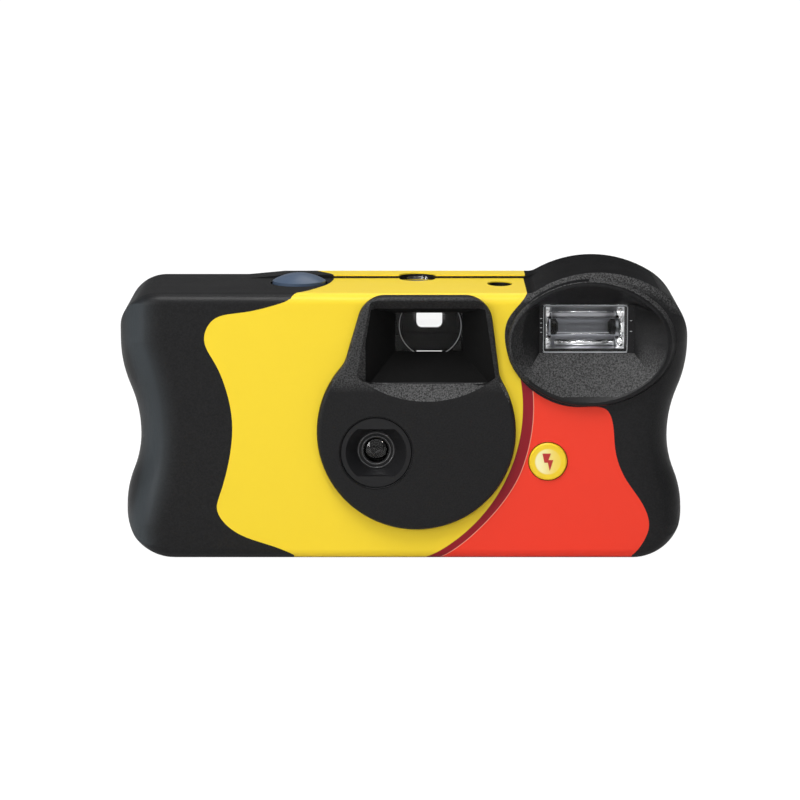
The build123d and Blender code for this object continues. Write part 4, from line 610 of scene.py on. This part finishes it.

# %% [markdown]
# The rim of the finder's front lens
#
# The finder's front lens is a clear block with a round hollow. The edge of the
# hollow is the one line that shows, so a thin pale ring there is a painted highlight.

# %% Piece: rim of the finder lens
FINDER_PLACE = (FINDER_X, 47.5)
OBJECTIVE_RADIUS = 6.35
RIM_PROUD, RIM_BEAD = 0.05, 0.09
lens_front = float(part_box("finder_objective")[0][1]) / MM
# Painted highlight: a pale ring at the edge of the hollow.
rim_highlight = grained_finish("rim_highlight", (0.30, 0.31, 0.32), (1.0, 0.01, 0.2, 0.35))
turned_ring(
    "finder_rim", FINDER_PLACE, round_profile(OBJECTIVE_RADIUS, lens_front - RIM_PROUD, RIM_BEAD), rim_highlight,
    "housing",
)

# %% [markdown]
# The lens ring
#
# Round the lens ring runs a fine seam, and the floor of its well has two raised
# beads. All three are round beads turned about the lens. Inside the lens, just
# before its rear face, lies a black disc that stands for the dark space behind.

# %% Pieces: seam and well bead of the lens ring
LENS_PLACE = (-5.6, 22.6)
SEAM_RADIUS, SEAM_SINK, SEAM_BEAD = 7.475, 0.12, 0.155
WELL_BEAD_RADIUS, WELL_BEAD_STEP, WELL_DEPTH, WELL_BEAD = 3.62, 0.72, 3.0, 0.13
ring_front = float(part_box("lens_retainer")[0][1]) / MM
turned_ring(
    "lens_ring_seam", LENS_PLACE, round_profile(SEAM_RADIUS, ring_front + SEAM_SINK, SEAM_BEAD), shell,
    "housing",
)
bead_black = plain_finish("bead_black", (0.05, 0.05, 0.052), 0.14, Specular_IOR_Level=1.0)
bead_y = ring_front + WELL_DEPTH - WELL_BEAD / 2
for step, name in enumerate(("well_bead_outer", "well_bead_inner")):
    profile = round_profile(WELL_BEAD_RADIUS - step * WELL_BEAD_STEP, bead_y, WELL_BEAD)
    turned_ring(name, LENS_PLACE, profile, bead_black, "housing")

# %% Piece: black disc inside the taking lens
MASK_HOLE, MASK_RADIUS, MASK_THICK, MASK_CLEAR = 0.05, 3.15, 0.06, 0.04
mask_rear = float(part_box("front_lens")[1][1]) / MM - MASK_CLEAR
mask_front = mask_rear - MASK_THICK
mask_profile = [
    (MASK_HOLE, mask_front), (MASK_RADIUS, mask_front), (MASK_RADIUS, mask_rear), (MASK_HOLE, mask_rear),
]
turned_ring("lens_mask", LENS_PLACE, mask_profile, blackened, "housing")

# %% [markdown]
# Helpers for Geometry Nodes
#
# What repeats or follows a path comes from a Geometry Nodes tree with named
# inputs. Each tree ends in Realize Instances and Set Material, and its result is
# turned into a plain mesh, so that nothing live is left on the piece.


# %% Helpers for Geometry Nodes
def start_tree(name, **inputs):
    """A tree with named inputs, each with the kind of its socket, and a finish."""
    tree = bpy.data.node_groups.new(name, "GeometryNodeTree")
    for label, kind in (*inputs.items(), ("Finish", "Material")):
        tree.interface.new_socket(label, in_out="INPUT", socket_type="NodeSocket" + kind)
    tree.interface.new_socket("Geometry", in_out="OUTPUT", socket_type="NodeSocketGeometry")
    return tree, tree.nodes.new("NodeGroupInput").outputs


def wired(tree, kind, **sources):
    """Add a node and link the given outputs to its inputs of the same names."""
    node = tree.nodes.new(kind)
    for label, output in sources.items():
        join(tree, output, node.inputs[label])
    return node


def end_tree(tree, shape, finish):
    """End a tree in Realize Instances and Set Material."""
    solid = wired(tree, "GeometryNodeRealizeInstances", Geometry=shape)
    painted = wired(tree, "GeometryNodeSetMaterial", Geometry=solid.outputs["Geometry"], Material=finish)
    wired(tree, "NodeGroupOutput", Geometry=painted.outputs["Geometry"])


def grow_piece(name, tree, values, place, body):
    """Run a tree with the given inputs, put the result in place and keep the plain mesh."""
    carrier = bpy.data.objects.new(name + "_carrier", bpy.data.meshes.new(name + "_start"))
    bpy.context.collection.objects.link(carrier)
    growth = carrier.modifiers.new("grow", "NODES")
    growth.node_group = tree
    for item in tree.interface.items_tree:
        if item.in_out == "INPUT":
            growth[item.identifier] = values[item.name]
    seen = carrier.evaluated_get(bpy.context.evaluated_depsgraph_get())
    mesh = bpy.data.meshes.new_from_object(seen)
    carrier.modifiers.clear()
    bpy.data.objects.remove(carrier)
    mesh.transform(place)
    mesh.update()
    new_piece(name, mesh, None, body)


print("helpers for trees are ready")

# %% [markdown]
# The edges of the flash window
#
# A clear window shows mostly by the light on its edges. Each edge is a thin pale
# bead, a painted highlight, that follows a rectangle with round corners: the tree
# draws the rectangle, rounds its corners and sweeps a small circle along it.


# %% Tree: bead round a rectangle
def make_bead_tree():
    """Geometry Nodes that sweep a bead along a rectangle with round corners."""
    tree, entry = start_tree("edge_bead", Width="Float", Height="Float", Corner="Float", Bead="Float")
    path = wired(tree, "GeometryNodeCurvePrimitiveQuadrilateral", Width=entry["Width"], Height=entry["Height"])
    rounded = wired(tree, "GeometryNodeFilletCurve", Curve=path.outputs["Curve"], Radius=entry["Corner"])
    rounded.mode = "POLY"
    rounded.inputs["Count"].default_value = 8
    section = wired(tree, "GeometryNodeCurvePrimitiveCircle", Radius=entry["Bead"])
    section.inputs["Resolution"].default_value = 8
    sweep = wired(tree, "GeometryNodeCurveToMesh", Curve=rounded.outputs["Curve"])
    join(tree, section.outputs["Curve"], sweep.inputs["Profile Curve"])
    end_tree(tree, sweep.outputs["Mesh"], entry["Finish"])
    return tree


bead_tree = make_bead_tree()
print(bead_tree.name, "nodes:", len(bead_tree.nodes))

# %% Pieces: the two edges of the flash window
CHAMBER_LEFT, CHAMBER_RIGHT, CHAMBER_HALF = 27.86, 46.94, 4.88
PANE_LEFT, PANE_RIGHT, PANE_HALF = 28.55, 45.65, 4.74
TUBE_Z, EDGE_PROUD = 47.3, 0.05
UPRIGHT = Matrix.Rotation(math.radians(90.0), 4, "X")
window_front = float(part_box("flash_window")[0][1]) / MM
# Painted highlight: the pale beads and ticks stand for light caught by the clear window's edges and feet.
edge_highlight = plain_finish("edge_highlight", (0.55, 0.57, 0.59), 0.15)
for name, left, right, half, corner, bead in (
    ("chamber_edge", CHAMBER_LEFT, CHAMBER_RIGHT, CHAMBER_HALF, 1.1, 0.050),
    ("pane_edge", PANE_LEFT, PANE_RIGHT, PANE_HALF, 0.45, 0.060),
):
    middle = Vector(((left + right) / 2, window_front - EDGE_PROUD, TUBE_Z)) * MM
    sizes = {
        "Width": (right - left) * MM, "Height": 2 * half * MM, "Corner": corner * MM, "Bead": bead * MM,
        "Finish": edge_highlight,
    }
    grow_piece(name, bead_tree, sizes, Matrix.Translation(middle) @ UPRIGHT, "housing")

# %% [markdown]
# Marks beside the flash window
#
# In the black gaps beside the window, its small moulded feet show as a few bright
# ticks: pale bars whose brightness is painted highlight. They repeat, so a second
# tree sets small bars on a line.


# %% Tree: row of bars
def make_row_tree():
    """Geometry Nodes that set small bars on a straight line."""
    tree, entry = start_tree("row_of_bars", Count="Int", Step="Vector", Bar="Vector")
    row = wired(tree, "GeometryNodeMeshLine", Count=entry["Count"], Offset=entry["Step"])
    bar = wired(tree, "GeometryNodeMeshCube", Size=entry["Bar"])
    spread = wired(
        tree, "GeometryNodeInstanceOnPoints", Points=row.outputs["Mesh"], Instance=bar.outputs["Mesh"]
    )
    end_tree(tree, spread.outputs["Instances"], entry["Finish"])
    return tree


row_tree = make_row_tree()
print(row_tree.name, "nodes:", len(row_tree.nodes))

# %% Pieces: feet of the flash window
FOOT_SIZE = Vector((0.42, 0.16, 0.13)) * MM
FOOT_PROUD = 0.04
for name, x, low_z, count, pitch in (
    ("feet_left", 28.05, 46.6, 4, 0.95), ("feet_right", 46.4, 46.8, 2, 2.2),
):
    sizes = {"Count": count, "Step": (0.0, 0.0, pitch * MM), "Bar": tuple(FOOT_SIZE), "Finish": edge_highlight}
    place = Matrix.Translation(Vector((x, window_front - FOOT_PROUD, low_z)) * MM)
    grow_piece(name, row_tree, sizes, place, "housing")

# %% [markdown]
# The rolls of the reflector
#
# The bright sheet of the reflector is rolled over at its two ends and along its
# walls. A round roll always mirrors something bright, so the rolls carry most of
# the sparkle behind the window. The tube's two ends sit in dark caps.


# %% Pieces: rolls of the reflector
def roll(start, finish, radius, steps=20):
    """Points and faces of a round bar from one place to another, in millimetres."""
    line = (Vector(finish) - Vector(start)).normalized()
    side = line.orthogonal().normalized()
    return skin([circle(end, side, line.cross(side), radius, steps) for end in (start, finish)])


LEFT_X, RIGHT_X, LOW_Z, HIGH_Z = 29.4, 44.4, 43.2, 51.4
LONG_LEFT, LONG_RIGHT = 30.9, 43.0
ROLL_DEPTH, THIN_DEPTH, LEFT_SHIFT, RIGHT_SHIFT = 1.3, 1.9, -0.25, 0.45
roll_y, thin_y = REFLECTOR_FRONT + ROLL_DEPTH, REFLECTOR_FRONT + THIN_DEPTH
left_middle, right_middle = LEFT_X + LEFT_SHIFT, RIGHT_X + RIGHT_SHIFT
ROLLS = [
    ((LEFT_X, roll_y, LOW_Z), (LEFT_X, roll_y, 45.5), 0.85),
    ((LEFT_X, roll_y, 49.0), (LEFT_X, roll_y, HIGH_Z), 0.85),
    ((left_middle, roll_y, 45.5), (left_middle, roll_y, 49.0), 0.60),
    ((RIGHT_X, roll_y, LOW_Z), (RIGHT_X, roll_y, 45.4), 1.15),
    ((RIGHT_X, roll_y, 49.2), (RIGHT_X, roll_y, HIGH_Z), 1.15),
    ((right_middle, roll_y, 45.4), (right_middle, roll_y, 49.2), 0.70),
    ((LONG_LEFT, roll_y, 44.1), (LONG_RIGHT, roll_y, 44.1), 0.62),
    ((LONG_LEFT, thin_y, 50.35), (LONG_RIGHT, thin_y, 50.35), 0.16),
    ((LONG_LEFT, thin_y, 45.75), (LONG_RIGHT, thin_y, 45.75), 0.12),
]
points, faces = [], []
for start, finish, radius in ROLLS:
    roll_points, roll_faces = roll(start, finish, radius)
    faces += [tuple(len(points) + index for index in face) for face in roll_faces]
    points += roll_points
roll_bright = plain_finish("roll_bright", (0.90, 0.91, 0.92), 0.18, Metallic=1.0)
rolls = outward_mesh("reflector_rolls", points, faces)
new_piece("reflector_rolls", rolls, roll_bright, "housing")

# %% Pieces: dark caps at the ends of the flash tube
CAP_RADIUS, CAP_LENGTH, CAP_BEHIND, CAP_STEPS = 1.62, 1.5, 0.1, 32
CAP_RINGS = ((0.0, 0.55), (0.35, 1.0), (1.0, 1.0), (1.0, 0.62))
DEPTHWAYS, UPWARDS = Vector((0, 1, 0)), Vector((0, 0, 1))
for name, middle, facing_x in (("tube_cap_left", 30.9, 1), ("tube_cap_right", 42.6, -1)):
    loops = []
    for share, wide in CAP_RINGS:
        centre = (middle - facing_x * CAP_LENGTH * (share - 0.5), roll_y + CAP_BEHIND, TUBE_Z)
        loops.append(circle(centre, DEPTHWAYS, UPWARDS, CAP_RADIUS * wide, CAP_STEPS))
    new_piece(name, outward_mesh(name, *skin(loops), smooth=False), blackened, "housing")

# %% [markdown]
# The counter's scale
#
# The frame counter is a small dial under its window. A ring of ticks, one for
# each click, comes from a third tree, and plain numbers stand beside them.


# %% Tree: ring of bars
def make_dial_tree():
    """Geometry Nodes that set bars on a circle, each pointing to the middle."""
    tree, entry = start_tree("dial_ticks", Count="Int", Radius="Float", Bar="Vector")
    ring = wired(tree, "GeometryNodeMeshCircle", Vertices=entry["Count"], Radius=entry["Radius"])
    bar = wired(tree, "GeometryNodeMeshCube", Size=entry["Bar"])
    index = tree.nodes.new("GeometryNodeInputIndex")
    turn = maths(tree, "DIVIDE", maths(tree, "MULTIPLY", index.outputs["Index"], math.tau), entry["Count"])
    upright_turn = wired(tree, "ShaderNodeCombineXYZ", Z=turn)
    spread = wired(
        tree, "GeometryNodeInstanceOnPoints", Points=ring.outputs["Mesh"], Instance=bar.outputs["Mesh"],
        Rotation=upright_turn.outputs["Vector"],
    )
    end_tree(tree, spread.outputs["Instances"], entry["Finish"])
    return tree


dial_tree = make_dial_tree()
print(dial_tree.name, "nodes:", len(dial_tree.nodes))

# %% Piece: ticks of the dial
DIAL_X, DIAL_Y, DIAL_TOP = -4.0, 2.4, float(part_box("counter_disc")[1][2]) / MM
TICKS, TICK_RADIUS, TICK_LONG, TICK_WIDE, INK_PROUD = 40, 8.75, 0.8, 0.22, 0.04
dial_ink = plain_finish("dial_ink", (0.012, 0.012, 0.014), 0.5)
dial_place = Matrix.Translation(Vector((DIAL_X, DIAL_Y, DIAL_TOP)) * MM)
tick = Vector((TICK_LONG, TICK_WIDE, 2 * INK_PROUD)) * MM
sizes = {"Count": TICKS, "Radius": TICK_RADIUS * MM, "Bar": tuple(tick), "Finish": dial_ink}
grow_piece("dial_ticks", dial_tree, sizes, dial_place, "counter")

# %% Piece: numbers on the dial
NUMBERS = ["27", "24", "21", "18", "15", "12", "9", "6", "3", "0"]
NUMBER_SIZE, NUMBER_RADIUS = 2.1, 7.1
to_radius = Matrix.Translation((0, -NUMBER_RADIUS * MM, 0))
shape = bmesh.new()
for place, number in enumerate(NUMBERS):
    letters = bpy.data.curves.new("number_" + number, "FONT")
    letters.body = number
    letters.size = NUMBER_SIZE * MM
    letters.extrude = INK_PROUD * MM
    letters.resolution_u = 3
    letters.align_x = "CENTER"
    letters.align_y = "CENTER"
    carrier = bpy.data.objects.new("number_carrier", letters)
    bpy.context.collection.objects.link(carrier)
    seen = carrier.evaluated_get(bpy.context.evaluated_depsgraph_get())
    plain = bpy.data.meshes.new_from_object(seen)
    turn = math.tau * place / len(NUMBERS)
    plain.transform(dial_place @ Matrix.Rotation(turn, 4, "Z") @ to_radius)
    shape.from_mesh(plain)
    bpy.data.objects.remove(carrier)
bmesh.ops.recalc_face_normals(shape, faces=shape.faces)
mesh = bpy.data.meshes.new("dial_numbers")
shape.to_mesh(mesh)
shape.free()
new_piece("dial_numbers", mesh, dial_ink, "counter")

# %% [markdown]
# Floor, backdrop and light
#
# The photograph was taken on white with soft light from above and in front. The
# floor and the backdrop are a pale grey, and most of their white comes from
# Light Path, so that the lamps stay at a plain level and the floor still keeps
# a faint shadow.


# %% Helpers for the stage
CAMERA_SHARE, FRONT_SHARE, GLOW = 0.8, 0.4, 1.25


def pale_finish(name, color, gloss_share, glass_share):
    """A pale diffuse finish that glows to the camera, and less in gloss and through glass.

    Through glass the floor in front of the object glows least, because only a mirror shows it.
    """
    material, tree, shader = start_finish(name, color, 0.9, Specular_IOR_Level=0.0)
    path = tree.nodes.new("ShaderNodeLightPath")
    seen = maths(tree, "MULTIPLY", path.outputs["Is Camera Ray"], CAMERA_SHARE)
    _, away, _ = object_axes(tree)
    behind = maths(tree, "MULTIPLY", maths(tree, "GREATER_THAN", away, 0.0), 1.0 - FRONT_SHARE)
    behind = maths(tree, "ADD", behind, FRONT_SHARE)
    through = maths(tree, "MULTIPLY", path.outputs["Is Transmission Ray"], behind)
    seen = maths(tree, "MAXIMUM", seen, maths(tree, "MULTIPLY", through, glass_share))
    seen = maths(tree, "MAXIMUM", seen, maths(tree, "MULTIPLY", path.outputs["Is Glossy Ray"], gloss_share))
    lamp = tree.nodes.new("ShaderNodeEmission")
    lamp.inputs["Color"].default_value = (1.0, 1.0, 1.0, 1.0)
    lamp.inputs["Strength"].default_value = GLOW
    mix = tree.nodes.new("ShaderNodeMixShader")
    join(tree, seen, mix.inputs["Fac"])
    join(tree, shader.outputs["BSDF"], mix.inputs[1])
    join(tree, lamp.outputs["Emission"], mix.inputs[2])
    join(tree, mix.outputs["Shader"], tree.nodes["Material Output"].inputs["Surface"])
    return material


def flat_piece(name, corners, material):
    """One four-cornered face for the floor or the backdrop."""
    mesh = bpy.data.meshes.new(name)
    mesh.from_pydata(corners, [], [(0, 1, 2, 3)])
    piece = bpy.data.objects.new(name, mesh)
    bpy.context.collection.objects.link(piece)
    mesh.materials.append(material)
    return piece


# %% Stage
PALE = (0.62, 0.62, 0.62)
REACH, WALL_Y, WALL_LOW, GLASS_SHARE = 3.0, 1.5, -0.5, 0.64
floor_corners = [(-REACH, -REACH, 0), (REACH, -REACH, 0), (REACH, REACH, 0), (-REACH, REACH, 0)]
wall_corners = [
    (-REACH, WALL_Y, WALL_LOW), (REACH, WALL_Y, WALL_LOW), (REACH, WALL_Y, REACH), (-REACH, WALL_Y, REACH),
]
floor = flat_piece("floor", floor_corners, pale_finish("floor_pale", PALE, 0.15, GLASS_SHARE))
wall = flat_piece("backdrop", wall_corners, pale_finish("wall_pale", PALE, 0.05, GLASS_SHARE))

# %% Light
world = bpy.data.worlds.new("room")
bpy.context.scene.world = world
world.use_nodes = True
world.node_tree.nodes["Background"].inputs["Color"].default_value = (1.0, 1.0, 1.0, 1.0)
world.node_tree.nodes["Background"].inputs["Strength"].default_value = 0.24


def soft_lamp(name, place, aim, size, watts):
    """A rectangular area lamp that looks at a point."""
    data = bpy.data.lights.new(name, "AREA")
    data.shape = "RECTANGLE"
    data.size, data.size_y = size
    data.energy = watts
    lamp = bpy.data.objects.new(name, data)
    bpy.context.collection.objects.link(lamp)
    lamp.location = place
    lamp.rotation_euler = (Vector(aim) - Vector(place)).to_track_quat("-Z", "Y").to_euler()
    lamp.visible_camera = False
    return lamp


CENTRE = (0, 0, 0.03)
soft_lamp("key_above", (-0.08, -0.28, 0.60), CENTRE, (0.28, 0.28), 2.5)
soft_lamp("front_soft", (-0.1, -1.2, 0.60), CENTRE, (1.7, 1.1), 2.5)
soft_lamp("glint_left", (-0.52, -0.82, 0.215), CENTRE, (0.16, 0.30), 0.9)
soft_lamp("glint_right", (0.43, -0.82, 0.39), CENTRE, (0.10, 0.10), 0.3)
soft_lamp("strip_left", (-0.62, -0.36, 0.22), CENTRE, (0.14, 0.40), 1.3)
soft_lamp("rear_high", (0.10, 0.36, 0.66), CENTRE, (0.35, 0.35), 1.2)
print("lamps:", [lamp.name for lamp in bpy.data.lights])

# %% [markdown]
# The camera
#
# The photograph looks ten degrees down at the front, from well back with a long
# lens, so the two sides are almost parallel.

# %% Camera
LOOK_AT = Vector((-0.73, 1.0, 30.40)) * MM
DISTANCE = 0.700
ELEVATION = math.radians(10.0)
lens = bpy.data.cameras.new("view")
lens.lens = 151.07
lens.sensor_width = 36.0
lens.clip_start = 0.01
viewer = bpy.data.objects.new("view", lens)
bpy.context.collection.objects.link(viewer)
viewer.location = LOOK_AT + DISTANCE * Vector((0.0, -math.cos(ELEVATION), math.sin(ELEVATION)))
viewer.rotation_euler = (LOOK_AT - viewer.location).to_track_quat("-Z", "Y").to_euler()
bpy.context.scene.camera = viewer
bpy.context.scene.view_settings.view_transform = "Standard"
print("camera at", [round(v, 3) for v in viewer.location])
